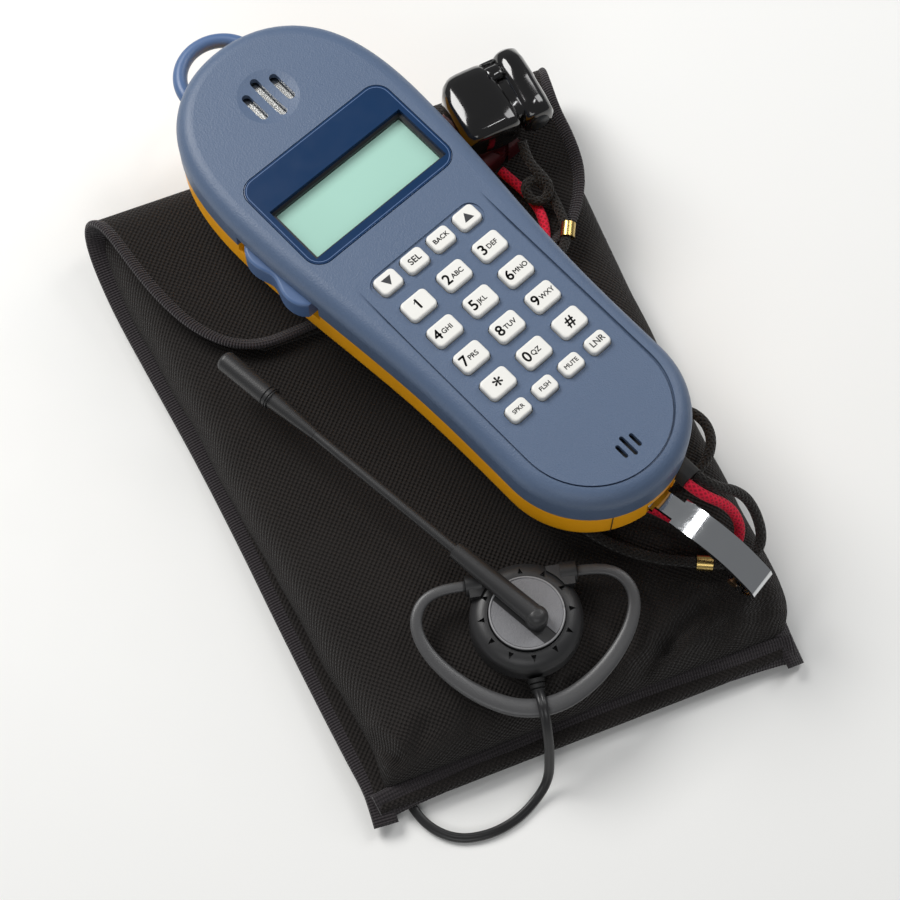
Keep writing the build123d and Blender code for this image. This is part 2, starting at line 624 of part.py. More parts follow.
# From the strain relief over the pouch's foot edge, round on the floor and under the pouch to the hank.
LEAD = [
    (-15.4, -112.6, 29.9), (-16.2, -119.0, 27.6), (-17.2, -125.5, 21.5), (-18.4, -131.5, 13.5),
    (-21.0, -137.5, 5.5), (-28.5, -142.5, 2.0), (-38.0, -146.5, 1.8), (-49.0, -147.6, 1.8), (-60.0, -145.0, 1.8),
    (-68.0, -137.5, 1.8), (-71.8, -127.0, 1.8), (-71.0, -115.0, 1.8), (-66.5, -104.5, 1.8), (-62.5, -94.5, 1.8),
]

def lead_hank():
    plan = Rot(0, 0, 90) * SlotOverall(LEAD_HANK_SIZE[1], LEAD_HANK_SIZE[0])
    return LEAD_HANK * prism(plan, 0.1, LEAD_HANK_SIZE[2])


def headset_plug():
    """Small jack plug: moulded body, collar and stepped metal tip."""
    body = Rot(-90, 0, 0) * Cylinder(3.4, 18)
    collar = Pos(0, 10, 0) * Rot(-90, 0, 0) * Cylinder(2.6, 2)
    tip = Pos(0, 16.5, 0) * Rot(-90, 0, 0) * Cylinder(1.25, 11)
    nose = Pos(0, 22.8, 0) * Rot(-90, 0, 0) * Cone(1.25, 0.5, 1.6)
    return PLUG * (body + collar + tip + nose)


# ---------------------------------------------------------------- pouch

def pouch_outline(inset=0.0):
    corners = [(-POUCH_FOOT_HALF, POUCH_FOOT_Y), (POUCH_FOOT_HALF, POUCH_FOOT_Y),
               (POUCH_HEAD_RIGHT, POUCH_HEAD_Y), (POUCH_HEAD_LEFT, POUCH_HEAD_Y)]
    face = make_face(Polyline(*corners, corners[0]))
    if inset:
        face = offset(face, amount=-inset, kind=Kind.INTERSECTION)
    return face


def pouch_back():
    """Back panel with its stiffener and bound edge; a gap in the edge lets the headset lead go under."""
    panel = prism(pouch_outline(), BACK_Z, BACK_Z + FABRIC)
    rim = prism(pouch_outline() - pouch_outline(RIM_WIDTH), 0, BACK_Z)
    rim -= block((26, 20, 2 * BACK_Z - 2.0), (-70, POUCH_FOOT_Y, 0))
    return panel + rim + block((104, 236, BACK_Z), (27, 0, BACK_Z / 2))


def pouch_front():
    """Front panel: flat over the contents, sloping down to the hem at the foot."""
    top = FRONT_TOP_Z
    low = BACK_Z + FABRIC + 0.1
    profile = Plane.YZ * make_face(Polyline(
        (POUCH_HEAD_Y - 2, top - FABRIC), (POUCH_HEAD_Y - 2, top), (SLOPE_Y, top), (POUCH_FOOT_Y + 4, low + FABRIC),
        (POUCH_FOOT_Y, low + FABRIC), (POUCH_FOOT_Y, low), (POUCH_FOOT_Y + 4.6, low), (SLOPE_Y + 0.8, top - FABRIC),
        (POUCH_HEAD_Y - 2, top - FABRIC)))
    return extrude(profile, amount=150, both=True) & prism(pouch_outline(), 0, 60)


def pouch_gussets():
    """Left and right side walls; they stop short of the mouth."""
    wall = prism(pouch_outline() - pouch_outline(FABRIC), BACK_Z + FABRIC + 0.1, FRONT_TOP_Z - FABRIC - 0.1)
    keep = block((400, GUSSET_END_Y - SLOPE_Y - 1, 100), (0, (GUSSET_END_Y + SLOPE_Y + 1) / 2, 0))
    return (wall & keep).solids()


def pouch_flap():
    """Flap from the back panel's head edge, over the mouth and down on the front panel."""
    low = FRONT_TOP_Z + FLAP_GAP
    tongue_length = POUCH_HEAD_Y + 2.6 - FLAP_EDGE_Y
    left = POUCH_HEAD_LEFT + 1
    right = POUCH_HEAD_RIGHT - 1
    tongue = make_face(Polyline((left, FLAP_EDGE_Y), (right, FLAP_EDGE_Y), (right, FLAP_EDGE_Y + tongue_length),
                                (left, FLAP_EDGE_Y + tongue_length), (left, FLAP_EDGE_Y)))
    tongue = fillet(tongue.vertices().group_by(Axis.Y)[0], FLAP_CORNER)
    flap = prism(tongue, low, low + FABRIC)
    back = block((right - left - 20, FABRIC, low - BACK_Z),
                 ((left + right) / 2, POUCH_HEAD_Y + 1.6, (low + BACK_Z) / 2))
    return flap + back


# ---------------------------------------------------------------- all nodes

def build_nodes():
    nodes = {}

    def on_handset(name, shape):
        parts = shape if isinstance(shape, list) else [shape]
        nodes[name] = [HANDSET * part for part in parts]

    on_handset("front_shell", front_shell())
    on_handset("rear_shell", rear_shell())
    on_handset("end_cap", end_cap())
    on_handset("hanging_ring", hanging_ring())
    on_handset("display_bezel", display_bezel())
    on_handset("lcd_panel", lcd_panel())
    on_handset("keypad_mat", keypad_mat())
    on_handset("circuit_board", circuit_board())
    on_handset("earpiece_speaker", earpiece_speaker())
    on_handset("microphone_capsule", microphone_capsule())
    on_handset("battery", battery())
    on_handset("shell_screws", shell_screws())
    on_handset("cord_gland", gland_body())
    on_handset("mode_switch", mode_switch())
    for name, centre, size in key_table():
        on_handset("key_" + name, Pos(*centre) * key(size))

    nodes["belt_hook"] = [HOOK * belt_hook()]
    nodes["hook_gate"] = [HOOK * hook_gate()]
    nodes["hook_pivot_pin"] = [HOOK * hook_pivot_pin()]
    nodes["gate_pin"] = [HOOK * gate_pin()]

    red = [cord_tube("red_line_cord out", RED_OUT, CORD_DIAMETER), cord_tube("red_line_cord in", RED_IN, CORD_DIAMETER)]
    black = [cord_tube("black_line_cord out", BLACK_OUT, CORD_DIAMETER),
             cord_tube("black_line_cord in", BLACK_IN, CORD_DIAMETER),
             cord_tube("black_line_cord bight", BIGHT, CORD_DIAMETER)]
    nodes["red_line_cord"] = red
    nodes["black_line_cord"] = black
    nodes["line_cord_hanks"] = line_cord_hanks()
    nodes["cord_ferrules"] = [ferrule(BLACK_OUT, 6), ferrule(BLACK_IN, 4)]

    body, jaw = clip_halves(39, 33, 18, 0.8)
    nodes["black_clip_body"] = [BLACK_CLIP * body]
    nodes["black_clip_jaw"] = [BLACK_CLIP * jaw]
    body, jaw = clip_halves(27, 30, 13, 0.8)
    nodes["red_clip_body"] = [RED_CLIP * body]
    nodes["red_clip_jaw"] = [RED_CLIP * jaw]

    nodes["ear_capsule"] = [HEADSET * ear_capsule()]
    nodes["headset_speaker"] = [HEADSET * headset_speaker()]
    nodes["ear_hook"] = [HEADSET * ear_hook()]
    nodes["boom_hub"] = [HEADSET * boom_hub()]
    nodes["boom_rod"] = [HEADSET * boom_rod()]
    nodes["boom_mic"] = [HEADSET * boom_mic()]
    nodes["lead_strain_relief"] = [strain_relief()]
    nodes["headset_lead"] = [cord_tube("headset_lead", LEAD, LEAD_DIAMETER)]
    nodes["lead_hank"] = [lead_hank()]
    nodes["headset_plug"] = [headset_plug()]

    nodes["pouch_back"] = [pouch_back()]
    nodes["pouch_front"] = [pouch_front()]
    nodes["pouch_gussets"] = list(pouch_gussets())
    nodes["pouch_flap"] = [pouch_flap()]
    return nodes


os.makedirs("parts", exist_ok=True)
for node_name, shapes in build_nodes().items():
    solids = [solid for shape in shapes for solid in shape.solids()]
    whole = solids[0] if len(solids) == 1 else Compound(children=solids)
    export_step(whole, f"parts/{node_name}.step")
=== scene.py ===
import bpy
import math
import numpy as np
from mathutils import Matrix, Vector, noise


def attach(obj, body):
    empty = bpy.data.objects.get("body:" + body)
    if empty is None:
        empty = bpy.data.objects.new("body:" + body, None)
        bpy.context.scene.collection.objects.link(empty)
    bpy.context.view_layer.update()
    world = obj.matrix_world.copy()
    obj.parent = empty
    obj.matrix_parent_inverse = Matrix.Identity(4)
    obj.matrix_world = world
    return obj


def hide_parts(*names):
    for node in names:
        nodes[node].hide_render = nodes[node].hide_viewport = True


# A lineman's test handset and a boom headset lying on a black nylon pouch, with their leads.
# Routes, outlines and stations are in mm and become metres where an object is made; the rest is in metres.

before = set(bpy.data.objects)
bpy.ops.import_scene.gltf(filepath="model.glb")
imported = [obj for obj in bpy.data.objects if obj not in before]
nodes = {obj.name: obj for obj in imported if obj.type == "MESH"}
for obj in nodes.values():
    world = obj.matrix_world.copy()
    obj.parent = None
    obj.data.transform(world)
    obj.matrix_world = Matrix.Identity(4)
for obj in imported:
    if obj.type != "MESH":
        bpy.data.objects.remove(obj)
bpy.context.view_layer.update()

ROOT = "pouch_and_headset"
HANDSET_TURN, HEADSET_TURN, CLIP_TURN = 21.3, -13.2, 6


def turned_place(x, y, z, turn):
    """A frame at a point, turned about Z by degrees."""
    return Matrix.Translation((x, y, z)) @ Matrix.Rotation(math.radians(turn), 4, "Z")


HANDSET = turned_place(0.0091, 0.0339, 0.0786, HANDSET_TURN)
HEADSET = turned_place(-0.0095, -0.085, 0.0275, HEADSET_TURN)
CLIP = turned_place(0.056, 0.1115, 0.0436, CLIP_TURN)
CORD_MM = 4.0


# ---------------------------------------------------------------- camera

camera_data = bpy.data.cameras.new("camera")
camera_data.lens = 85
camera_data.sensor_width = 36
camera = bpy.data.objects.new("camera", camera_data)
bpy.context.scene.collection.objects.link(camera)
camera.location = (-0.1211, -0.2922, 0.7773)
aim = Vector((-0.006, 0.0, 0.0)) - camera.location
camera.rotation_euler = aim.to_track_quat("-Z", "Y").to_euler()
bpy.context.scene.camera = camera


# ---------------------------------------------------------------- materials

def rgb(code):
    """Linear colour from a six-digit sRGB code."""
    parts = [int(code[i:i + 2], 16) / 255 for i in (0, 2, 4)]
    return tuple(c / 12.92 if c <= 0.04045 else ((c + 0.055) / 1.055) ** 2.4 for c in parts)


class Graph:
    """Short names for the shader nodes that the materials are made of."""

    def __init__(self, name, color, rough, metal=0.0, coat=0.0, specular=0.5):
        self.material = bpy.data.materials.new(name)
        self.material.use_nodes = True
        self.tree = self.material.node_tree
        self.shader = self.tree.nodes["Principled BSDF"]
        self.shader.inputs["Base Color"].default_value = (*color, 1)
        self.shader.inputs["Roughness"].default_value = rough
        self.shader.inputs["Metallic"].default_value = metal
        self.shader.inputs["Coat Weight"].default_value = coat
        self.shader.inputs["Coat Roughness"].default_value = 0.08
        self.shader.inputs["Specular IOR Level"].default_value = specular
        self.coords = self.tree.nodes.new("ShaderNodeTexCoord")

    def put(self, socket, value):
        """Give an input a value, or link another node's output to it."""
        if isinstance(value, bpy.types.NodeSocket):
            self.tree.links.new(value, socket)
        else:
            socket.default_value = value

    def noise(self, scale, detail=3.0, rough=0.55, vector=None):
        """Soft noise; scale is the number of its patches in a metre."""
        node = self.tree.nodes.new("ShaderNodeTexNoise")
        node.inputs["Scale"].default_value = scale
        node.inputs["Detail"].default_value = detail
        node.inputs["Roughness"].default_value = rough
        self.put(node.inputs["Vector"], vector or self.coords.outputs["Object"])
        return node.outputs["Fac"]

    def cells(self, scale):
        """Distance to the middle of the nearest cell."""
        node = self.tree.nodes.new("ShaderNodeTexVoronoi")
        node.inputs["Scale"].default_value = scale
        self.put(node.inputs["Vector"], self.coords.outputs["Object"])
        return node.outputs["Distance"]

    def calc(self, operation, a, b=0.0):
        node = self.tree.nodes.new("ShaderNodeMath")
        node.operation = operation
        self.put(node.inputs[0], a)
        self.put(node.inputs[1], b)
        return node.outputs[0]

    def spread(self, value, low, high, from_low=0.0, from_high=1.0):
        """Stretch a value's range to low..high."""
        node = self.tree.nodes.new("ShaderNodeMapRange")
        node.inputs["From Min"].default_value = from_low
        node.inputs["From Max"].default_value = from_high
        node.inputs["To Min"].default_value = low
        node.inputs["To Max"].default_value = high
        self.put(node.inputs["Value"], value)
        return node.outputs["Result"]

    def blend(self, factor, low, high):
        node = self.tree.nodes.new("ShaderNodeMix")
        node.data_type = "RGBA"
        self.put(node.inputs["Factor"], factor)
        for socket, value in zip([s for s in node.inputs if s.type == "RGBA"], (low, high)):
            self.put(socket, value if isinstance(value, bpy.types.NodeSocket) else (*value, 1))
        return [s for s in node.outputs if s.type == "RGBA"][0]

    def bump(self, height, distance):
        """A normal from a height, which counts for so many metres."""
        node = self.tree.nodes.new("ShaderNodeBump")
        node.inputs["Distance"].default_value = distance
        node.inputs["Strength"].default_value = 1.0
        self.put(node.inputs["Height"], height)
        return node.outputs["Normal"]

    def split_uv(self):
        """The cloth coordinates, in metres along and across."""
        node = self.tree.nodes.new("ShaderNodeSeparateXYZ")
        self.put(node.inputs[0], self.coords.outputs["UV"])
        return node.outputs[0], node.outputs[1]


def scaled(color, factor):
    return tuple(min(1.0, c * factor) for c in color)


DRIFT_SCALE, GRAIN_SCALE = 60.0, 1800.0


def finish_surface(name, color, rough, metal=0.0, coat=0.0, drift=0.1, grain=0.00005, rough_drift=0.07):
    """A moulded, cast or drawn surface: slow colour and roughness drift over a fine grain."""
    g = Graph(name, color, rough, metal, coat)
    slow = g.noise(DRIFT_SCALE, 4.0)
    g.put(g.shader.inputs["Base Color"], g.blend(slow, scaled(color, 1 - drift), scaled(color, 1 + drift)))
    patches = g.noise(DRIFT_SCALE * 2.3)
    g.put(g.shader.inputs["Roughness"], g.spread(patches, rough - rough_drift, rough + rough_drift))
    g.put(g.shader.inputs["Normal"], g.bump(g.noise(GRAIN_SCALE, 2.0), grain))
    return g.material


def moulded_grain(name, color, rough, grain_scale, grain, speck=0.12):
    """Spark-textured plastic: cells of fine pits that also catch the light."""
    g = Graph(name, color, rough)
    pits = g.noise(grain_scale, 3.0, 0.7)
    cells = g.cells(grain_scale * 1.4)
    height = g.calc("ADD", pits, g.calc("MULTIPLY", cells, 0.6))
    slow = g.noise(22.0, 3.0)
    mixed = g.calc("ADD", g.calc("MULTIPLY", slow, 0.35), g.calc("MULTIPLY", pits, 0.65))
    g.put(g.shader.inputs["Base Color"], g.blend(mixed, scaled(color, 1 - speck), scaled(color, 1 + speck)))
    g.put(g.shader.inputs["Roughness"], g.spread(slow, rough - 0.05, rough + 0.06))
    g.put(g.shader.inputs["Normal"], g.bump(height, grain))
    return g.material


def woven(name, color, pitch, depth, contrast=0.75):
    """Coarse plain-weave nylon, laid out by the mesh's own cloth coordinates."""
    g = Graph(name, color, 0.86, specular=0.3)
    u, v = g.split_uv()
    wave_u = g.calc("SINE", g.calc("MULTIPLY", u, 2 * math.pi / pitch))
    wave_v = g.calc("SINE", g.calc("MULTIPLY", v, 2 * math.pi / pitch))
    knots = g.calc("MULTIPLY", wave_u, wave_v)
    irregular = g.noise(900.0, 3.0, 0.7, g.coords.outputs["UV"])
    height = g.calc("ADD", g.calc("MULTIPLY", knots, 0.7), g.calc("MULTIPLY", irregular, 0.9))
    slow = g.noise(30.0, 3.0)
    tone = g.calc("ADD", g.spread(height, 0.0, 0.8, -0.6, 1.5), g.calc("MULTIPLY", slow, 0.25))
    low, high = scaled(color, 1 - contrast), scaled(color, 1 + contrast)
    g.put(g.shader.inputs["Base Color"], g.blend(tone, low, high))
    g.shader.inputs["Sheen Weight"].default_value = 0.06
    g.shader.inputs["Sheen Roughness"].default_value = 0.45
    g.put(g.shader.inputs["Normal"], g.bump(height, depth))
    return g.material


def grosgrain(name, color, rib, depth):
    """Ribbed binding tape: ribs across its length and a finer thread along it."""
    g = Graph(name, color, 0.8, specular=0.3)
    u, v = g.split_uv()
    ribs = g.calc("SINE", g.calc("MULTIPLY", u, 2 * math.pi / rib))
    threads = g.calc("SINE", g.calc("MULTIPLY", v, 2 * math.pi / (rib * 1.3)))
    height = g.calc("ADD", ribs, g.calc("MULTIPLY", threads, 0.5))
    uneven = g.noise(700.0, 2.0, 0.6, g.coords.outputs["UV"])
    height = g.calc("ADD", height, g.calc("MULTIPLY", uneven, 1.2))
    g.put(g.shader.inputs["Base Color"],
          g.blend(g.spread(height, 0.0, 1.0, -1.2, 2.2), scaled(color, 0.45), scaled(color, 1.6)))
    g.shader.inputs["Sheen Weight"].default_value = 0.15
    g.put(g.shader.inputs["Normal"], g.bump(height, depth))
    return g.material


def braided(name, color, pitch, around, depth, contrast=0.3):
    """Round braid: strands crossing both ways round the cord."""
    g = Graph(name, color, 0.72, specular=0.35)
    u, v = g.split_uv()
    along = g.calc("MULTIPLY", u, 2 * math.pi / pitch)
    # v runs round the cord by pi times its diameter, and each strand comes back that many times around
    turn = g.calc("MULTIPLY", v, 2 * around / (CORD_MM / 1000))
    one = g.calc("SINE", g.calc("ADD", along, turn))
    two = g.calc("SINE", g.calc("SUBTRACT", along, turn))
    height = g.calc("MAXIMUM", one, two)
    fuzz = g.noise(2500.0, 2.0, 0.6)
    height = g.calc("ADD", height, g.calc("MULTIPLY", fuzz, 0.5))
    g.put(g.shader.inputs["Base Color"],
          g.blend(g.spread(height, 0.0, 1.0, -0.4, 1.4), scaled(color, contrast), scaled(color, 1.35)))
    g.shader.inputs["Sheen Weight"].default_value = 0.1
    g.put(g.shader.inputs["Normal"], g.bump(height, depth))
    return g.material


def display_glass(name, color):
    """The blank face of the display: pale green, slowly changing in tone."""
    g = Graph(name, color, 0.16, coat=0.6)
    slow = g.noise(9.0, 2.0)
    fine = g.noise(3000.0, 1.0)
    tone = g.spread(slow, 0.1, 0.9, 0.35, 0.65)
    g.put(g.shader.inputs["Base Color"], g.blend(tone, scaled(color, 0.93), scaled(color, 1.08)))
    g.put(g.shader.inputs["Roughness"], g.spread(fine, 0.14, 0.2))
    return g.material


BLUE = rgb("52647F")
materials = {
    "casing": moulded_grain("casing blue plastic", BLUE, 0.42, 1300.0, 0.0001, 0.13),
    "amber": finish_surface("amber plastic", rgb("FFAE08"), 0.42, drift=0.05, grain=0.00002),
    "trim": finish_surface("blue satin plastic", rgb("4F6A94"), 0.4, drift=0.05, grain=0.00002),
    "bezel": finish_surface("navy display surround", rgb("0B2F55"), 0.2, coat=0.2, drift=0.06, grain=0.000004),
    "lcd": display_glass("display glass", rgb("A6D0C2")),
    # The dark material serves the seam and display frame, and also the painted shade of the clip tube's bore.
    "dark": finish_surface("dark moulding and painted bore shade", rgb("15191C"), 0.5, drift=0.15),
    "key": finish_surface("key cap", rgb("ECEBE6"), 0.38, drift=0.02, grain=0.00001),
    "legend": finish_surface("key printing", rgb("2C2E32"), 0.6, drift=0.1),
    "mat": finish_surface("key mat rubber", rgb("6E6E6A"), 0.7),
    "board": finish_surface("circuit board", rgb("1E5B34"), 0.4, coat=0.3, drift=0.2),
    "steel": finish_surface("plated steel", rgb("C9C9C6"), 0.25, metal=1.0, drift=0.08),
    "gland": finish_surface("black rubber", rgb("161616"), 0.62, drift=0.2),
    "chrome": finish_surface("polished chrome", rgb("D8DADC"), 0.06, metal=1.0, drift=0.03, grain=0.000002,
                             rough_drift=0.03),
    "gate": finish_surface("cast grey metal", rgb("8D8F92"), 0.32, metal=1.0, drift=0.12, grain=0.00002),
    "bronze": finish_surface("bronze rivet", rgb("8A6F55"), 0.35, metal=1.0, drift=0.2),
    "brass": finish_surface("brass", rgb("C9AE6C"), 0.28, metal=1.0, drift=0.12, grain=0.00001),
    "red": braided("red braid", rgb("D00C33"), 0.0022, 6, 0.0001, 0.6),
    "black": braided("black braid", rgb("1C1815"), 0.0024, 6, 0.0003),
    "clip_black": finish_surface("glossy black plastic", rgb("0C0B0B"), 0.12, coat=0.8, drift=0.2,
                                 grain=0.000006, rough_drift=0.05),
    "clip_red": finish_surface("dark red rubber", rgb("4A0D16"), 0.5, drift=0.2),
    "headset": moulded_grain("satin black plastic", rgb("2A2A2B"), 0.4, 1500.0, 0.00003, 0.1),
    "disc": moulded_grain("grey hub disc", rgb("77777A"), 0.42, 1400.0, 0.00012, 0.25),
    "hub_ring": finish_surface("bright ring", rgb("8E8E90"), 0.4, drift=0.1),
    # The ear hook is the headset's satin black plastic. Its lighter grey base and strong speckle are a painted
    # sheen of the light on its top.
    "band": moulded_grain("ear hook plastic with painted sheen", rgb("4A4A4B"), 0.34, 1600.0, 0.00004, 0.2),
    "cable": finish_surface("headset cable", rgb("222223"), 0.36, drift=0.15, grain=0.00001),
    "nylon": woven("pouch nylon", rgb("1F1B19"), 0.0021, 0.0006),
    "tape": grosgrain("pouch binding", rgb("2B2629"), 0.0011, 0.00025),
    "battery": finish_surface("battery wrap", rgb("2B2D33"), 0.4, drift=0.2),
}

LOOKS = {
    "casing": ["front_shell"], "amber": ["rear_shell", "end_cap"], "trim": ["hanging_ring", "mode_switch"],
    "bezel": ["display_bezel"], "lcd": ["lcd_panel"], "mat": ["keypad_mat"], "board": ["circuit_board"],
    "steel": ["earpiece_speaker", "headset_speaker", "shell_screws", "hook_pivot_pin"],
    "gland": ["cord_gland", "lead_strain_relief", "microphone_capsule"], "battery": ["battery"],
    "chrome": ["belt_hook"], "gate": ["hook_gate"], "bronze": ["gate_pin"], "brass": ["cord_ferrules"],
    "clip_black": ["black_clip_body", "black_clip_jaw"], "clip_red": ["red_clip_body", "red_clip_jaw"],
    "headset": ["ear_capsule", "boom_hub", "boom_rod", "boom_mic"], "cable": ["headset_plug", "lead_hank"],
    "nylon": ["pouch_back", "pouch_front", "pouch_gussets", "pouch_flap"],
    "key": [name for name in nodes if name.startswith("key_")],
}
for look, names in LOOKS.items():
    for name in names:
        mesh = nodes[name].data
        mesh.materials.clear()
        mesh.materials.append(materials[look])


# ---------------------------------------------------------------- mesh helpers

def add_object(name, vertices, faces, uvs, look, body, smooth=True):
    """A mesh object; uvs has one pair for every corner of every face, in metres of cloth or cord."""
    mesh = bpy.data.meshes.new(name)
    mesh.from_pydata([tuple(v) for v in vertices], [], faces)
    if uvs is not None:
        layer = mesh.uv_layers.new(name="cloth")
        flat = np.array([uv for face in uvs for uv in face], dtype=np.float32).ravel()
        layer.data.foreach_set("uv", flat)
    mesh.materials.append(materials[look])
    if smooth:
        mesh.shade_smooth()
    obj = bpy.data.objects.new(name, mesh)
    bpy.context.scene.collection.objects.link(obj)
    if body:
        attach(obj, body)
    return obj


def grid_object(name, points, look, body):
    """A surface through a rows x columns x 3 array of points, with cloth coordinates by arc length."""
    rows, columns = points.shape[:2]
    across = np.zeros((rows, columns))
    across[:, 1:] = np.cumsum(np.linalg.norm(np.diff(points, axis=1), axis=2), axis=1)
    across -= across[:, columns // 2][:, None]
    along = np.zeros((rows, columns))
    along[1:] = np.cumsum(np.linalg.norm(np.diff(points, axis=0), axis=2), axis=0)
    along = np.repeat(along[:, columns // 2][:, None], columns, axis=1)
    faces, uvs = [], []
    for r in range(rows - 1):
        for c in range(columns - 1):
            corners = [(r, c), (r, c + 1), (r + 1, c + 1), (r + 1, c)]
            faces.append([i * columns + j for i, j in corners])
            uvs.append([(across[i, j], along[i, j]) for i, j in corners])
    return add_object(name, points.reshape(-1, 3), faces, uvs, look, body)


def thicken(obj, thickness):
    """Give a sheet its thickness on the inner side."""
    modifier = obj.modifiers.new("thickness", "SOLIDIFY")
    modifier.thickness = thickness
    modifier.offset = -1.0
    return obj


def nurbs_line(points, resolution=10):
    """The smooth line whose control points are the route's points."""
    curve = bpy.data.curves.new("route", "CURVE")
    curve.dimensions = "3D"
    spline = curve.splines.new("NURBS")
    spline.points.add(len(points) - 1)
    for point, place in zip(spline.points, points):
        point.co = (*place, 1.0)
    spline.order_u = 3
    spline.use_endpoint_u = True
    spline.resolution_u = resolution
    holder = bpy.data.objects.new("route", curve)
    mesh = bpy.data.meshes.new_from_object(holder)
    line = [tuple(v.co) for v in mesh.vertices]
    bpy.data.objects.remove(holder)
    bpy.data.curves.remove(curve)
    bpy.data.meshes.remove(mesh)
    return line


def frames_along(line, up=(0, 0, 1)):
    """Side and normal directions carried along a line without twist."""
    line = [Vector(p) for p in line]
    tangents = []
    for i in range(len(line)):
        tangents.append((line[min(i + 1, len(line) - 1)] - line[max(i - 1, 0)]).normalized())
    normal = Vector(up)
    frames = []
    for tangent in tangents:
        normal = (normal - tangent * normal.dot(tangent)).normalized()
        frames.append((tangent.cross(normal), normal.copy()))
    return line, tangents, frames


def tube_object(name, line, section, look, body, up=(0, 0, 1), taper=None, hold_up=False):
    """A tube along a line. section is a ring of (side, up) offsets; taper gives a scale for each point."""
    line, tangents, frames = frames_along(line, up)
    if hold_up:
        frames = []
        for tangent in tangents:
            side = tangent.cross(Vector(up)).normalized()
            frames.append((side, side.cross(tangent)))
    count = len(section)
    ring_length = [0.0]
    for k in range(count):
        a, b = section[k], section[(k + 1) % count]
        ring_length.append(ring_length[-1] + math.hypot(b[0] - a[0], b[1] - a[1]))
    run = [0.0]
    for a, b in zip(line, line[1:]):
        run.append(run[-1] + (b - a).length)
    vertices, faces, uvs = [], [], []
    for i, (place, (side, normal)) in enumerate(zip(line, frames)):
        size = taper(run[i] / run[-1]) if taper else 1.0
        for s, n in section:
            vertices.append(place + side * s * size + normal * n * size)
    for i in range(len(line) - 1):
        for k in range(count):
            n = (k + 1) % count
            faces.append([i * count + k, i * count + n, (i + 1) * count + n, (i + 1) * count + k])
            uvs.append([(run[i], ring_length[k]), (run[i], ring_length[k + 1]),
                        (run[i + 1], ring_length[k + 1]), (run[i + 1], ring_length[k])])
    for ring, order in ((0, -1), (len(line) - 1, 1)):
        face = [ring * count + k for k in range(count)][::order]
        faces.append(face)
        uvs.append([(run[ring], 0.0)] * count)
    return add_object(name, vertices, faces, uvs, look, body)


def ring_section(width, height, count=20, power=2.0):
    """An ellipse, or with a higher power a rounded rectangle."""
    points = []
    for k in range(count):
        a = 2 * math.pi * k / count
        c, s = math.cos(a), math.sin(a)
        points.append((math.copysign(abs(c) ** (2 / power), c) * width / 2,
                       math.copysign(abs(s) ** (2 / power), s) * height / 2))
    return points


def mm(points):
    """Points in mm as points in metres."""
    return [tuple(c / 1000 for c in p) for p in points]


def at_handset(x, y, z):
    return tuple(c * 1000 for c in HANDSET @ Vector((x / 1000, y / 1000, z / 1000)))


# ---------------------------------------------------------------- leads

RED_X, BLACK_X, EXIT_Z = 12.2, 17.0, -21.4
RED_OUT = [
    at_handset(RED_X, -111.0, EXIT_Z), at_handset(RED_X + 0.6, -117.5, EXIT_Z),
    (74.2, -75.2, 46.8), (77.5, -81.0, 38.5), (75.5, -86.0, 32.4), (69.5, -86.8, 30.8),
    (63.5, -80.5, 30.8), (58.5, -70.5, 31.0), (52.0, -62.5, 32.0), (44.0, -56.0, 33.6),
]
BLACK_OUT = [
    at_handset(BLACK_X, -111.0, EXIT_Z), at_handset(BLACK_X + 0.6, -117.5, EXIT_Z),
    (81.0, -72.2, 46.8), (85.0, -80.0, 38.0), (84.0, -89.0, 32.2), (76.5, -94.0, 30.6),
    (66.5, -91.0, 30.5), (55.0, -85.5, 30.5), (43.0, -79.0, 30.5), (32.0, -70.0, 30.8),
    at_handset(-20.5, -90.0, -46.8), at_handset(-23.0, -73.0, -46.0), at_handset(-23.5, -52.0, -45.4),
    at_handset(-22.0, -30.0, -45.0), at_handset(-18.0, -12.0, -44.8), at_handset(-11.5, 0.0, -44.6),
]
RED_IN = [(28.0, 20.0, 33.6), (38.0, 27.0, 32.4), (46.0, 38.0, 32.0), (53.0, 49.0, 32.0),
          (58.5, 60.0, 32.4), (60.0, 70.0, 33.0), (56.5, 81.0, 34.4), (51.2, 90.5, 36.0)]
BLACK_IN = [
    (20.5, 41.0, 34.4), (32.0, 45.5, 36.8), (44.0, 46.5, 37.4), (55.0, 45.5, 36.4), (63.5, 51.5, 34.0),
    (66.5, 60.0, 34.0), (66.5, 68.0, 35.0), (65.5, 75.0, 37.5), (61.5, 80.0, 41.0), (56.0, 78.5, 40.5),
    (57.0, 73.0, 37.0), (62.5, 71.0, 36.5), (66.0, 74.5, 40.5), (63.5, 80.0, 43.0), (60.5, 86.5, 45.5),
    (61.0, 93.0, 49.0),
]
BIGHT = [
    (57.0, -53.0, 33.6), (67.0, -55.5, 32.0), (77.0, -52.5, 30.5), (83.5, -45.0, 30.5), (84.5, -36.0, 30.5),
    (79.0, -28.5, 31.5), (69.0, -25.0, 33.0),
]
LEAD = [
    (-15.2, -110.8, 31.2), (-15.7, -114.0, 33.6), (-16.6, -119.5, 33.4), (-17.4, -125.0, 28.0),
    (-18.5, -131.0, 17.5), (-21.0, -137.5, 5.5), (-28.5, -142.5, 2.0), (-38.0, -146.5, 1.8),
    (-49.0, -147.6, 1.8), (-60.0, -145.0, 1.8), (-68.0, -137.5, 1.8), (-71.8, -127.0, 1.8),
    (-71.0, -115.0, 1.8), (-66.5, -104.5, 1.8), (-62.5, -94.5, 1.8),
]


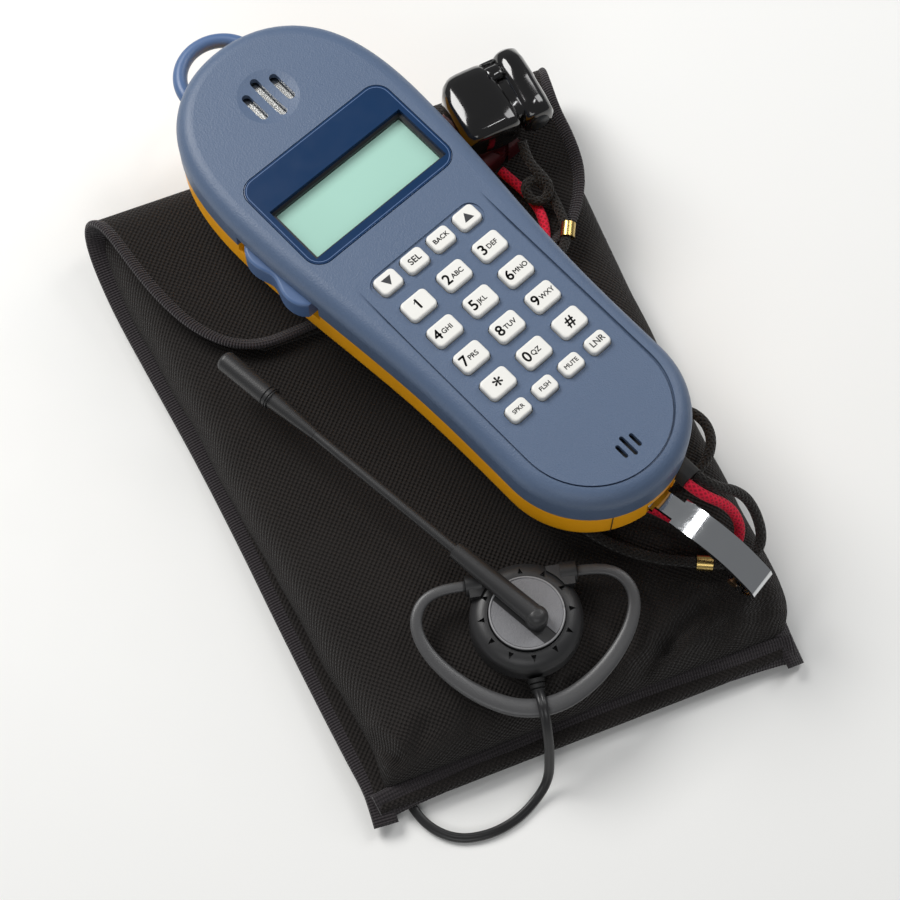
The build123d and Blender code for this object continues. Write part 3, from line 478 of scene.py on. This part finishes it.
def wound(place, straight, strands, start, stop, steps=34):
    """Control points of the surplus of a lead: turns of a flat loop, one (radius, height) for each turn."""
    points = []
    for i in range(int((stop - start) * steps) + 1):
        gone = i / steps
        turn = min(int(gone), len(strands) - 1)
        following = strands[min(turn + 1, len(strands) - 1)]
        share = min(1.0, max(0.0, (gone - turn - 0.8) / 0.2))
        share = share * share * (3 - 2 * share)
        radius = strands[turn][0] * (1 - share) + following[0] * share
        height = strands[turn][1] * (1 - share) + following[1] * share
        quarter = math.pi * radius / 2
        total = 2 * straight + 4 * quarter
        s = ((start + gone) % 1.0) * total
        if s < quarter:
            a = -math.pi / 2 - s / radius
            x, y = radius * math.cos(a), -straight / 2 + radius * math.sin(a)
        elif s < quarter + straight:
            x, y = -radius, -straight / 2 + (s - quarter)
        elif s < 3 * quarter + straight:
            a = math.pi - (s - quarter - straight) / radius
            x, y = radius * math.cos(a), straight / 2 + radius * math.sin(a)
        elif s < 3 * quarter + 2 * straight:
            x, y = radius, straight / 2 - (s - 3 * quarter - straight)
        else:
            a = -(s - 3 * quarter - 2 * straight) / radius
            x, y = radius * math.cos(a), -straight / 2 + radius * math.sin(a)
        world = place @ Vector((x, y, 0))
        points.append((world.x, world.y, height))
    return points


# each strand of a hank is a (radius, height) of the loop
LINE_STRANDS = [(14.7, 36.4), (9.3, 36.4), (9.3, 32.2), (14.7, 32.2)]
LINE_STRAIGHT = 46
LEAD_STRANDS = [(11.2, 1.8), (7.6, 1.8), (4.0, 1.8), (4.0, 5.0), (7.6, 5.0), (11.2, 5.0)]
LEAD_STRAIGHT = 40
PLUG_END = [(-50.0, -92.0, 3.4), (-42.0, -89.0, 3.6), (-37.4, -82.0, 3.6), (-37.2, -73.0, 3.6)]


def hank_under_handset(y):
    """The middle of a hank of the line cord, at a place along the handset."""
    centre = at_handset(0, y, 0)
    return turned_place(centre[0], centre[1], 0, HANDSET_TURN)


red_route = RED_OUT + wound(hank_under_handset(-52), LINE_STRAIGHT, LINE_STRANDS, 0.05, 3.575) + RED_IN
black_route = BLACK_OUT + wound(hank_under_handset(34), LINE_STRAIGHT, LINE_STRANDS, 0.15, 3.86) + BLACK_IN
lead_route = LEAD + wound(turned_place(-61, -61, 0, 4), LEAD_STRAIGHT, LEAD_STRANDS, 0.02, 5.9) + PLUG_END


red_line = nurbs_line(mm(red_route))
black_line = nurbs_line(mm(black_route))
lead_line = nurbs_line(mm(lead_route))
round_section = ring_section(CORD_MM / 1000, CORD_MM / 1000)
red_cord = tube_object("red_lead", red_line, round_section, "red", "handset")
black_cord = tube_object("black_lead", black_line, round_section, "black", "handset")
bight_line = nurbs_line(mm(BIGHT))
bight = tube_object("black_lead_bight", bight_line, round_section, "black", "handset")


def twin_section(width, height, count=28):
    """Figure-of-eight section of a flat two-core cable."""
    points = []
    for k in range(count):
        a = 2 * math.pi * k / count
        c, s = math.cos(a), math.sin(a)
        waist = 1 - 0.28 * math.exp(-(c / 0.3) ** 2)
        points.append((c * width / 2, s * height / 2 * waist))
    return points


headset_cord = tube_object("headset_twin_lead", lead_line, twin_section(0.0038, 0.0025), "cable", ROOT)
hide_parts("black_line_cord")
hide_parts("red_line_cord", "line_cord_hanks")
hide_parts("black_line_cord")
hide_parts("headset_lead", "lead_hank")


# ---------------------------------------------------------------- pouch

def eased(table_mm, y):
    """A smooth edge through a few (y, x) pairs."""
    ys = np.linspace(-140, 145, 571)
    xs = np.interp(ys, [p[0] for p in table_mm], [p[1] for p in table_mm])
    kernel = np.hanning(41)
    padded = np.pad(xs, 20, mode="edge")
    return np.interp(y, ys, np.convolve(padded, kernel / kernel.sum(), mode="valid"))


BODY_LEFT = [(-119, -78.5), (-103, -77.5), (-79, -81.5), (-49, -86), (-3, -92.6), (34, -96.8), (68, -101.4),
             (108, -106.3), (130, -107.5)]
BODY_RIGHT = [(-120, 81), (-112, 88.5), (-100, 89.5), (-80, 88.4), (-36, 87), (10, 86.2), (57, 85.6),
              (94, 85.6), (130, 86.5)]
CREASES = [
    # x and y of both ends, depth, half-width
    (53, -103, 36, -110, 4.2, 3.4), (36, -110, 26, -116, 4.0, 3.0), (64, -94, 57, -114, 2.6, 5.0),
    (76, -108, 70, -118, 1.8, 3.5), (-77, -103, -71, -113, 3.2, 2.4), (-68, -117, -58, -107, 1.6, 3.0),
    (-44, -118, -40, -108, 1.2, 3.2), (-8, -118, -3, -110, 1.3, 2.6), (13, -86, 27, -107, 1.8, 4.5),
    (8, -118, 14, -112, 1.6, 2.2), (86, -66, 74, -84, 1.4, 4.5), (-86, 78, -74, 40, 0.9, 7.0),
    (-84, 10, -72, -20, 0.8, 8.0),
]


def crease_drop(x, y):
    """How deep the creases are at each point, with a low ridge along both sides, in mm."""
    drop = np.zeros_like(x)
    for x0, y0, x1, y1, depth, half in CREASES:
        dx, dy = x1 - x0, y1 - y0
        t = np.clip(((x - x0) * dx + (y - y0) * dy) / (dx * dx + dy * dy), 0, 1)
        away = np.hypot(x - x0 - t * dx, y - y0 - t * dy)
        drop += depth * (np.exp(-(away / half) ** 2) - 0.35 * np.exp(-((away - 2.2 * half) / half) ** 2))
    return drop


def drape(x, y, size, amount, seed):
    """Slow unevenness of the cloth, in mm."""
    return np.array([[amount * noise.noise(Vector((a / size, b / size, seed))) for a, b in zip(ra, rb)]
                     for ra, rb in zip(x, y)])


def pouch_body():
    """The padded pocket: rounded sides, a soft slope at the foot and the cloth's folds."""
    rows, columns = 230, 170
    v = np.linspace(0, 1, rows)[:, None]
    s = np.linspace(0, 1, columns)[None, :]
    y = -119.5 + (129.5 + 119.5) * (0.35 * v + 0.65 * v ** 1.35) + 0 * s
    t = -np.cos(math.pi * s) + 0 * v
    left, right = eased(BODY_LEFT, y), eased(BODY_RIGHT, y)
    x = (left + right) / 2 + (right - left) / 2 * t
    rise = np.clip((y + 119.5) / 25, 0, 1)
    foot = (1 - (1 - rise) ** 2.3) ** (1 / 2.0)
    side = (1 - np.clip(np.abs(t), 0, 1) ** 11) ** (1 / 2.0)
    low = np.where(t < 0, 7.2, 4.0) + 0 * y
    height = (27.0 - low) * (0.12 + 0.88 * foot)
    z = low + height * side
    strength = np.clip(side * foot * 1.5, 0, 1)
    z = z - crease_drop(x, y) * strength
    flat = np.clip(1 - np.hypot((x + 9.5) / 30, (y + 85) / 30), 0, 1)
    z = z + drape(x, y, 34.0, 1.1, 2.0) * strength * (1 - np.clip(2 * flat, 0, 1))
    z = np.minimum(z, 28.2)
    bulge = drape(x, y, 26.0, 1.2, 5.0) * (1 - side)
    x = x + bulge * np.sign(t)
    points = np.stack([x, y, z], axis=2) / 1000
    obj = grid_object("pouch_pocket", points, "nylon", ROOT)
    thicken(obj, 0.0014)
    return obj


def pouch_base():
    """The back panel's two faces: thin edges, flat below, hollow where the headset lead is kept."""
    rows, columns = 90, 70
    v = np.linspace(0, 1, rows)[:, None]
    s = np.linspace(0, 1, columns)[None, :]
    y = -64 * np.cos(math.pi * v) * 2 + 0.5 + 0 * s
    y = np.clip(y, -127.5, 130)
    t = -np.cos(math.pi * s) + 0 * v
    left = -104.5 + (130 - y) * 21 / 260
    right = 85 - (130 - y) * 2 / 260
    x = (left + right) / 2 + (right - left) / 2 * t
    edge = np.minimum(np.minimum(x - left, right - x), np.minimum(y + 127.5, 130 - y))
    roll = np.sqrt(np.clip(1 - (1 - np.clip(edge / 3.0, 0, 1)) ** 2, 0, 1))
    top = 4.6 + 3.9 * roll + drape(x, y, 30.0, 0.4, 9.0) * roll
    open_under = (x > -81) & (x < -27) & (y > -140) & (y < 122)
    floor_level = np.where(open_under & (edge > 5.5), 6.6, 0.25)
    floor_level = np.where((x > -82) & (x < -58) & (y < -118), 6.6, floor_level)
    under = 4.6 - (4.6 - floor_level) * roll
    upper = grid_object("pouch_back_upper", np.stack([x, y, top], axis=2) / 1000, "nylon", ROOT)
    grid_object("pouch_back_under", np.stack([x, y, under], axis=2)[::-1] / 1000, "nylon", ROOT)
    return upper


FLAP_LEFT = [(52, -57), (56, -66), (62, -74), (70, -81.5), (84, -88), (104, -96.5), (122, -101), (131, -105)]
FLAP_RIGHT = [(52, 56), (56, 67), (62, 73), (72, 79), (84, 83), (95, 84), (108, 83), (131, 86)]


def flap_profile(v):
    """y and z of the flap from the back panel's head edge, over the mouth and down the front."""
    path = [(129.5, 7.5), (133.2, 12.0), (134.2, 19.0), (132.8, 25.5), (128.0, 29.4), (120.0, 30.6),
            (100.0, 30.2), (80.0, 29.9), (62.0, 29.7), (53.5, 29.3)]
    line = nurbs_line([(0.0, a, b) for a, b in path], 12)
    steps = np.cumsum([0.0] + [math.hypot(b[1] - a[1], b[2] - a[2]) for a, b in zip(line, line[1:])])
    y = np.interp(v, steps / steps[-1], [p[1] for p in line])
    z = np.interp(v, steps / steps[-1], [p[2] for p in line])
    return y, z


def pouch_flap():
    """The flap's cloth, as wide as its outline at each place along its profile."""
    rows, columns = 110, 130
    v = np.linspace(0, 1, rows)
    y, z = flap_profile(v)
    s = np.linspace(-1, 1, columns)[None, :]
    y, z = y[:, None] + 0 * s, z[:, None] + 0 * s
    on_wall = (np.arange(rows) < rows * 0.25)[:, None]
    edge_y = np.where(on_wall, 131.0, np.minimum(y, 131.0))
    left, right = eased(FLAP_LEFT, edge_y), eased(FLAP_RIGHT, edge_y)
    x = (left + right) / 2 + (right - left) / 2 * s
    z = z + drape(x, y, 30.0, 0.7, 3.0) * np.clip((132 - y) / 20, 0, 1)
    points = np.stack([x, y, z], axis=2) / 1000
    obj = grid_object("pouch_flap_cloth", points, "nylon", ROOT)
    thicken(obj, 0.0015)
    return obj


def tape_object(name, centre_mm, up, width_mm, thick_mm):
    """Binding tape folded over an edge."""
    line = nurbs_line(mm(centre_mm), 9)
    section = ring_section(width_mm / 1000, thick_mm / 1000, 22, 2.6)
    return tube_object(name, line, section, "tape", ROOT, up=up)


pocket = pouch_body()
base_upper = pouch_base()
flap = pouch_flap()
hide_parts("pouch_front", "pouch_gussets")
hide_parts("pouch_back")
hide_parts("pouch_flap")
left_tape = tape_object("pouch_left_binding", [
    (-82.6, -131.0, 4.0), (-82.0, -124, 5.6), (-81.8, -116, 6.6), (-83.4, -104, 6.6), (-85.6, -84, 6.2),
    (-89.4, -46, 6.0), (-92.4, -10, 6.0), (-96.6, 30, 6.2), (-102, 69, 7.0), (-106, 98, 8.0),
    (-107.4, 116, 10.0), (-107.6, 127, 14.5), (-106.5, 132.5, 21.0), (-104.0, 131.5, 27.5),
    (-100.5, 124.0, 30.4), (-97.0, 110.0, 30.6), (-93.0, 95.0, 30.5), (-87.0, 80.0, 30.2), (-80.5, 69.5, 30.0), (-72.0, 61.0, 29.9), (-62.0, 57.0, 29.8),
    (-50.0, 57.2, 29.8), (-36.0, 58.5, 29.7), (-15.0, 58.8, 29.7), (20.0, 58.0, 29.7), (44.0, 56.0, 29.7),
    (58.0, 56.0, 29.8), (67.0, 60.0, 29.9), (75.0, 70.0, 30.0), (80.5, 82.0, 30.2), (82.0, 96.0, 30.4),
    (81.5, 110.0, 30.4), (83.0, 124.0, 30.0), (84.5, 131.5, 25.5), (85.0, 133.0, 18.0), (85.0, 129.0, 9.0),
    (84.0, 118.0, 4.8), (83.5, 90.0, 4.2), (83.5, 40.0, 4.0), (83.5, -20.0, 4.0), (83.5, -80.0, 4.2),
    (83.8, -104.0, 5.4), (82.0, -118.0, 6.4), (82.6, -131.0, 4.4)], (0, 0, 1), 9.4, 3.4)
tape_object("pouch_foot_hem", [
    (-84.0, -124.5, 6.0), (-74.0, -123.2, 6.4), (-56.0, -122.6, 6.8), (-36.0, -121.8, 7.0),
    (-10.0, -121.0, 7.0), (14.0, -120.2, 7.2), (36.0, -121.2, 7.0), (58.0, -122.8, 6.8), (72.0, -123.4, 6.6), (84.0, -124.6, 6.0)],
    (0, -0.5, 0.86), 11.0, 4.0)


# ---------------------------------------------------------------- key legends and display

def text_object(name, words, size_mm, centre, look, body, align="CENTER", weight=0.07):
    """Flat printing on the handset, centred in its frame; weight thickens the strokes. All in mm."""
    curve = bpy.data.curves.new(name, "FONT")
    curve.body = words
    curve.size = size_mm / 1000
    curve.align_x = align
    curve.align_y = "CENTER"
    curve.extrude = 0.00002
    holder = bpy.data.objects.new(name, curve)
    glyphs = bpy.data.meshes.new_from_object(holder)
    bpy.data.objects.remove(holder)
    bpy.data.curves.remove(curve)
    place = HANDSET @ Matrix.Translation([c / 1000 for c in centre])
    vertices, faces = [], []
    for shift_x, shift_y in ((0, 0), (weight, 0), (-weight, 0), (0, weight), (0, -weight)):
        first = len(vertices)
        vertices += [place @ (v.co + Vector((shift_x / 1000, shift_y / 1000, 0))) for v in glyphs.vertices]
        faces += [[first + k for k in polygon.vertices] for polygon in glyphs.polygons]
    bpy.data.meshes.remove(glyphs)
    return add_object(name, vertices, faces, None, look, body, smooth=False)


def plate_object(name, outline_mm, low, high, look, body, place=HANDSET):
    """A flat plate over an outline, between two heights in mm."""
    count = len(outline_mm)
    vertices = [place @ Vector((x / 1000, y / 1000, z / 1000)) for z in (low, high) for x, y in outline_mm]
    faces = [list(range(count))[::-1], list(range(count, 2 * count))]
    faces += [[k, (k + 1) % count, count + (k + 1) % count, count + k] for k in range(count)]
    return add_object(name, vertices, faces, None, look, body, smooth=False)


KEY_TOP, PRINT_TOP = 1.4, 1.42
COLUMN, ROW, SMALL = 17.8, 14.1, 13.1
NAV_Y, FUNCTION_Y = 14.4, -54.8
NUMBER_LEGENDS = [["1", ""], ["2", "ABC"], ["3", "DEF"], ["4", "GHI"], ["5", "JKL"], ["6", "MNO"],
                  ["7", "PRS"], ["8", "TUV"], ["9", "WXY"], ["star", ""], ["0", "QZ"], ["hash", ""]]
for index, (key, letters) in enumerate(NUMBER_LEGENDS):
    x, y = (index % 3 - 1) * COLUMN, -(index // 3) * ROW
    body = f"key_{key}_body"
    sign = {"star": "*", "hash": "#"}.get(key, key)
    if letters:
        text_object(f"legend_{key}", sign, 5.9, (x - 3.4, y, PRINT_TOP), "legend", body, weight=0.13)
        text_object(f"letters_{key}", letters, 2.8, (x - 1.5, y - 0.2, PRINT_TOP), "legend", body,
                    align="LEFT", weight=0.06)
    else:
        size = 8.5 if key == "star" else 6.2
        drop = -1.3 if key == "star" else 0.0
        text_object(f"legend_{key}", sign, size, (x, y + drop, PRINT_TOP), "legend", body, weight=0.13)
for index, (key, words, size) in enumerate([["select", "SEL", 3.7], ["back", "BACK", 2.7]]):
    text_object(f"legend_{key}", words, size, ((index - 0.5) * SMALL, NAV_Y, PRINT_TOP), "legend",
                f"key_{key}_body")
plate_object("legend_1_flag", [(-COLUMN - 1.3, 0.75), (-COLUMN, 1.75), (-COLUMN, 2.2), (-COLUMN - 1.3, 1.25)],
             KEY_TOP, KEY_TOP + 0.04, "legend", "key_1_body")
for key, x, sign in (("nav_down", -1.5 * SMALL, -1), ("nav_up", 1.5 * SMALL, 1)):
    outline = [(x - 2.2, NAV_Y - sign * 1.7), (x + 2.2, NAV_Y - sign * 1.7), (x, NAV_Y + sign * 1.9)]
    if sign < 0:
        outline.reverse()
    plate_object(f"legend_{key}", outline, KEY_TOP, KEY_TOP + 0.04, "legend", f"key_{key}_body")
FUNCTION_LEGENDS = [["speaker", "SPKR", 2.3], ["flash", "FLSH", 2.4], ["mute", "MUTE", 2.4],
                    ["last_number", "LNR", 3.4]]
for index, (key, words, size) in enumerate(FUNCTION_LEGENDS):
    text_object(f"legend_{key}", words, size, ((index - 1.5) * SMALL, FUNCTION_Y, PRINT_TOP), "legend",
                f"key_{key}_body", weight=0.05)


def frame_outline(width, height, corner, count=6):
    """A rounded rectangle about the origin."""
    points = []
    for sx, sy, start in ((1, 1, 0), (-1, 1, 90), (-1, -1, 180), (1, -1, 270)):
        for k in range(count + 1):
            a = math.radians(start + 90 * k / count)
            points.append((sx * (width / 2 - corner) + corner * math.cos(a),
                           sy * (height / 2 - corner) + corner * math.sin(a)))
    return points


def frame_object(name, centre, outer, inner, low, high, look, body):
    """A flat ring between two rounded rectangles, each given as width, height and corner radius."""
    big = [(x + centre[0], y + centre[1]) for x, y in frame_outline(*outer)]
    small = [(x + centre[0], y + centre[1]) for x, y in frame_outline(*inner)]
    count = len(big)
    rings = [(big, low), (big, high), (small, high), (small, low)]
    vertices = [HANDSET @ Vector((x / 1000, y / 1000, z / 1000)) for ring, z in rings for x, y in ring]
    faces = []
    for r in range(4):
        for k in range(count):
            n = (k + 1) % count
            faces.append([r * count + k, r * count + n, ((r + 1) % 4) * count + n, ((r + 1) % 4) * count + k])
    return add_object(name, vertices, faces, None, look, body, smooth=False)


frame_object("bezel_edge_line", (0, 58.5), (69.4, 44.4, 6.0), (68.8, 43.8, 5.7), 0.08, 0.14,
             "trim", "handset")
frame_object("display_inner_frame", (0, 52.8), (65.2, 26.7, 0.6), (62.2, 23.9, 0.5), -4.3, -2.2,
             "dark", "handset")


# ---------------------------------------------------------------- headset details

def ring_object(name, place, radius, tube, look, body, count=72):
    """A thin ring of round wire."""
    line = [place @ Vector((radius * math.cos(a), radius * math.sin(a), 0))
            for a in np.linspace(0, 2 * math.pi, count + 1)]
    return tube_object(name, line, ring_section(tube * 2, tube * 2, 10), look, body)


BOOM_TURN = math.radians(40.4)
BOOM_ALONG = (-math.sin(BOOM_TURN), math.cos(BOOM_TURN))
BOOM_ACROSS = (-BOOM_ALONG[1], BOOM_ALONG[0])


def half_disc(radius, offset, side, count=40):
    """Part of a disc on one side of the boom's channel."""
    reach = math.acos(offset / radius)
    points = []
    for k in range(count + 1):
        a = -reach + 2 * reach * k / count
        across, along = side * radius * math.cos(a), radius * math.sin(a)
        points.append(tuple(across * u + along * v for u, v in zip(BOOM_ACROSS, BOOM_ALONG)))
    return points if side > 0 else points[::-1]


plate_object("hub_facet_left", half_disc(13.1, 4.6, 1), 13.85, 14.2, "disc", "boom", HEADSET)
plate_object("hub_facet_right", half_disc(13.1, 1.0, -1), 13.85, 14.3, "disc", "boom", HEADSET)
ring_object("hub_ring", HEADSET @ Matrix.Translation((0, 0, 0.01405)), 0.0136, 0.0004, "hub_ring", "boom")


def loop_line():
    """The ear hook's line, pin to pin, in metres; its lower part lies on the pouch."""
    half = [(20.5, 14.5, 10.0), (28.5, 14.8, 10.0), (37.0, 11.6, 9.4), (41.0, 3.5, 8.2), (38.4, -6.5, 6.6),
            (31.4, -16.2, 5.0), (22.4, -24.4, 3.8), (12.5, -30.2, 3.1), (4.2, -32.6, 2.9)]
    route = half + [(-x, y, z) for x, y, z in reversed(half)]
    return nurbs_line([tuple(HEADSET @ Vector([c / 1000 for c in p])) for p in route], 12)


def band(share):
    """The hook is slim at its pins and widest at the bottom."""
    return 0.56 + 0.44 * math.sin(math.pi * min(1.0, max(0.0, share))) ** 2.2


# The band's material carries a painted sheen: it is lighter grey than the headset's own black.
ear_band = tube_object("ear_hook_band", loop_line(), ring_section(0.0070, 0.0036, 24, 2.5), "band", "ear_loop",
                       taper=band, hold_up=True)
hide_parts("ear_hook")


# ---------------------------------------------------------------- black test clip

def shell_object(name, stations, place, look, body, count=40, power=3.0):
    """A closed shell through sections across Y: y, centre x and z, half-width, half-height, in mm."""
    vertices, faces = [], []
    for y, x, z, wide, high in stations:
        for k in range(count):
            a = 2 * math.pi * k / count
            c, s = math.cos(a), math.sin(a)
            across = math.copysign(abs(c) ** (2 / power), c) * wide
            up = math.copysign(abs(s) ** (2 / power), s) * high
            vertices.append(place @ Vector(((x + across) / 1000, y / 1000, (z + up) / 1000)))
    for r in range(len(stations) - 1):
        for k in range(count):
            n = (k + 1) % count
            faces.append([r * count + k, (r + 1) * count + k, (r + 1) * count + n, r * count + n])
    faces.append(list(range(count)))
    faces.append([(len(stations) - 1) * count + k for k in range(count)][::-1])
    return add_object(name, vertices, faces, None, look, body)


body_stations = [(-16.4, -6.8, 9.0, 9.0, 6.0), (-15.4, -6.9, 9.0, 11.4, 8.0), (-13.0, -7.0, 9.0, 12.2, 8.8),
                 (-6.0, -7.0, 9.0, 12.4, 9.0), (3.0, -7.0, 8.9, 12.2, 8.9), (9.0, -6.6, 8.7, 11.4, 8.5),
                 (12.6, -6.0, 8.4, 10.0, 7.8), (15.0, -5.2, 8.0, 8.2, 6.6), (16.4, -4.6, 7.6, 6.0, 4.6)]
clip_shell = shell_object("black_clip_shell", body_stations, CLIP, "clip_black", "handset", power=4.0)
jaw_stations = [(-16.5, 12.3, 9.2, 5.2, 5.6), (-15.2, 12.3, 9.2, 6.6, 7.2), (-9.0, 12.4, 9.2, 6.9, 8.0),
                (0.0, 12.6, 9.4, 6.7, 8.3), (1.0, 12.6, 9.4, 6.9, 8.5), (10.0, 12.8, 9.4, 6.6, 8.4),
                (14.6, 12.8, 9.2, 6.0, 7.6), (16.4, 12.8, 9.0, 4.2, 5.6)]
jaw_shell = shell_object("black_clip_tube", jaw_stations, CLIP, "clip_black", "black_jaw", power=2.4)
mouth_stations = [(4.8, 4.6, 11.2, 2.6, 5.2), (6.0, 4.6, 11.2, 3.4, 6.4), (10.0, 4.6, 10.6, 3.4, 6.4),
                  (11.6, 4.6, 10.4, 3.0, 5.6)]
shell_object("black_clip_mouth", mouth_stations, CLIP, "clip_black", "handset", power=6.0)
web_stations = [(-13.0, 5.4, 10.0, 3.0, 4.0), (-11.5, 5.4, 10.0, 3.6, 5.6), (3.2, 5.4, 10.0, 3.6, 5.8),
                (4.6, 5.4, 10.0, 3.2, 4.6)]
shell_object("black_clip_web", web_stations, CLIP, "clip_black", "handset", power=5.0)
# A thin dark disc on the tube's closed end: painted shade for the dark inside of its bore.
bore_shade_stations = [(y, 12.3, 9.2, 3.9, 4.3) for y in (-16.9, -16.2)]
shell_object("black_clip_bore_shade", bore_shade_stations, CLIP, "dark", "black_jaw", power=2.0)
for index in range(3):
    y = 8.0 + index * 2.6
    step_stations = [(end, 4.7, 14.6 - index, 3.3, 2.2) for end in (y, y + 1.3)]
    shell_object(f"black_clip_step_{index + 1}", step_stations, CLIP, "clip_black", "handset", power=6.0)
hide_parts("black_clip_body")
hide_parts("black_clip_jaw")


# ---------------------------------------------------------------- seams of the casing

SEAM_X, FOOT_Y, FOOT_RADIUS, REAR_EDGE = -18.5, -71.0, 37.5, 11.0
seam_y = FOOT_Y - math.sqrt(FOOT_RADIUS ** 2 - SEAM_X ** 2)
seam = [(SEAM_X, seam_y, -16.3), (SEAM_X, seam_y, -27.6)]
for step in range(1, 7):
    turn = math.radians(12 * step)
    seam.append((SEAM_X, seam_y + REAR_EDGE * (1 - math.cos(turn)), -27.6 - REAR_EDGE * math.sin(turn)))
tube_object("end_cap_seam", mm([at_handset(*p) for p in seam]), ring_section(0.0005, 0.0003, 8), "dark",
            "handset", up=(1, 0, 0))


# ---------------------------------------------------------------- floor and light

floor_graph = Graph("floor", rgb("F2F2F0"), 0.6)
floor_graph.put(floor_graph.shader.inputs["Roughness"], floor_graph.spread(floor_graph.noise(40.0), 0.5, 0.7))
bpy.ops.mesh.primitive_plane_add(size=6, location=(0, 0, -0.0001))
floor = bpy.context.object
floor.name = "floor"
floor.data.materials.append(floor_graph.material)


def area_light(name, location, target, size, power, color=(1, 1, 1)):
    """A soft light that faces its target; its power is in watts."""
    data = bpy.data.lights.new(name, "AREA")
    data.shape = "RECTANGLE"
    data.size, data.size_y = size
    data.energy = power
    data.color = color
    light = bpy.data.objects.new(name, data)
    bpy.context.scene.collection.objects.link(light)
    light.location = location
    light.rotation_euler = (Vector(target) - Vector(location)).to_track_quat("-Z", "Y").to_euler()


area_light("key softbox", (-0.45, 0.8, 1.0), (0, 0, 0), (0.7, 0.6), 14, (1.0, 0.99, 0.975))
area_light("right softbox", (0.85, 0.3, 0.9), (0, 0, 0), (0.4, 0.7), 4.2)
area_light("front fill", (-0.5, -0.9, 1.0), (0, 0, 0), (0.9, 0.5), 3.2)
area_light("reflector card", (0.33, 0.14, 1.0), (0.06, -0.1, 0.05), (0.05, 0.22), 0.5)
world = bpy.data.worlds.new("studio")
world.use_nodes = True
world.node_tree.nodes["Background"].inputs["Color"].default_value = (0.95, 0.97, 1.0, 1)
world.node_tree.nodes["Background"].inputs["Strength"].default_value = 0.2
bpy.context.scene.world = world
bpy.context.scene.view_settings.view_transform = "Standard"
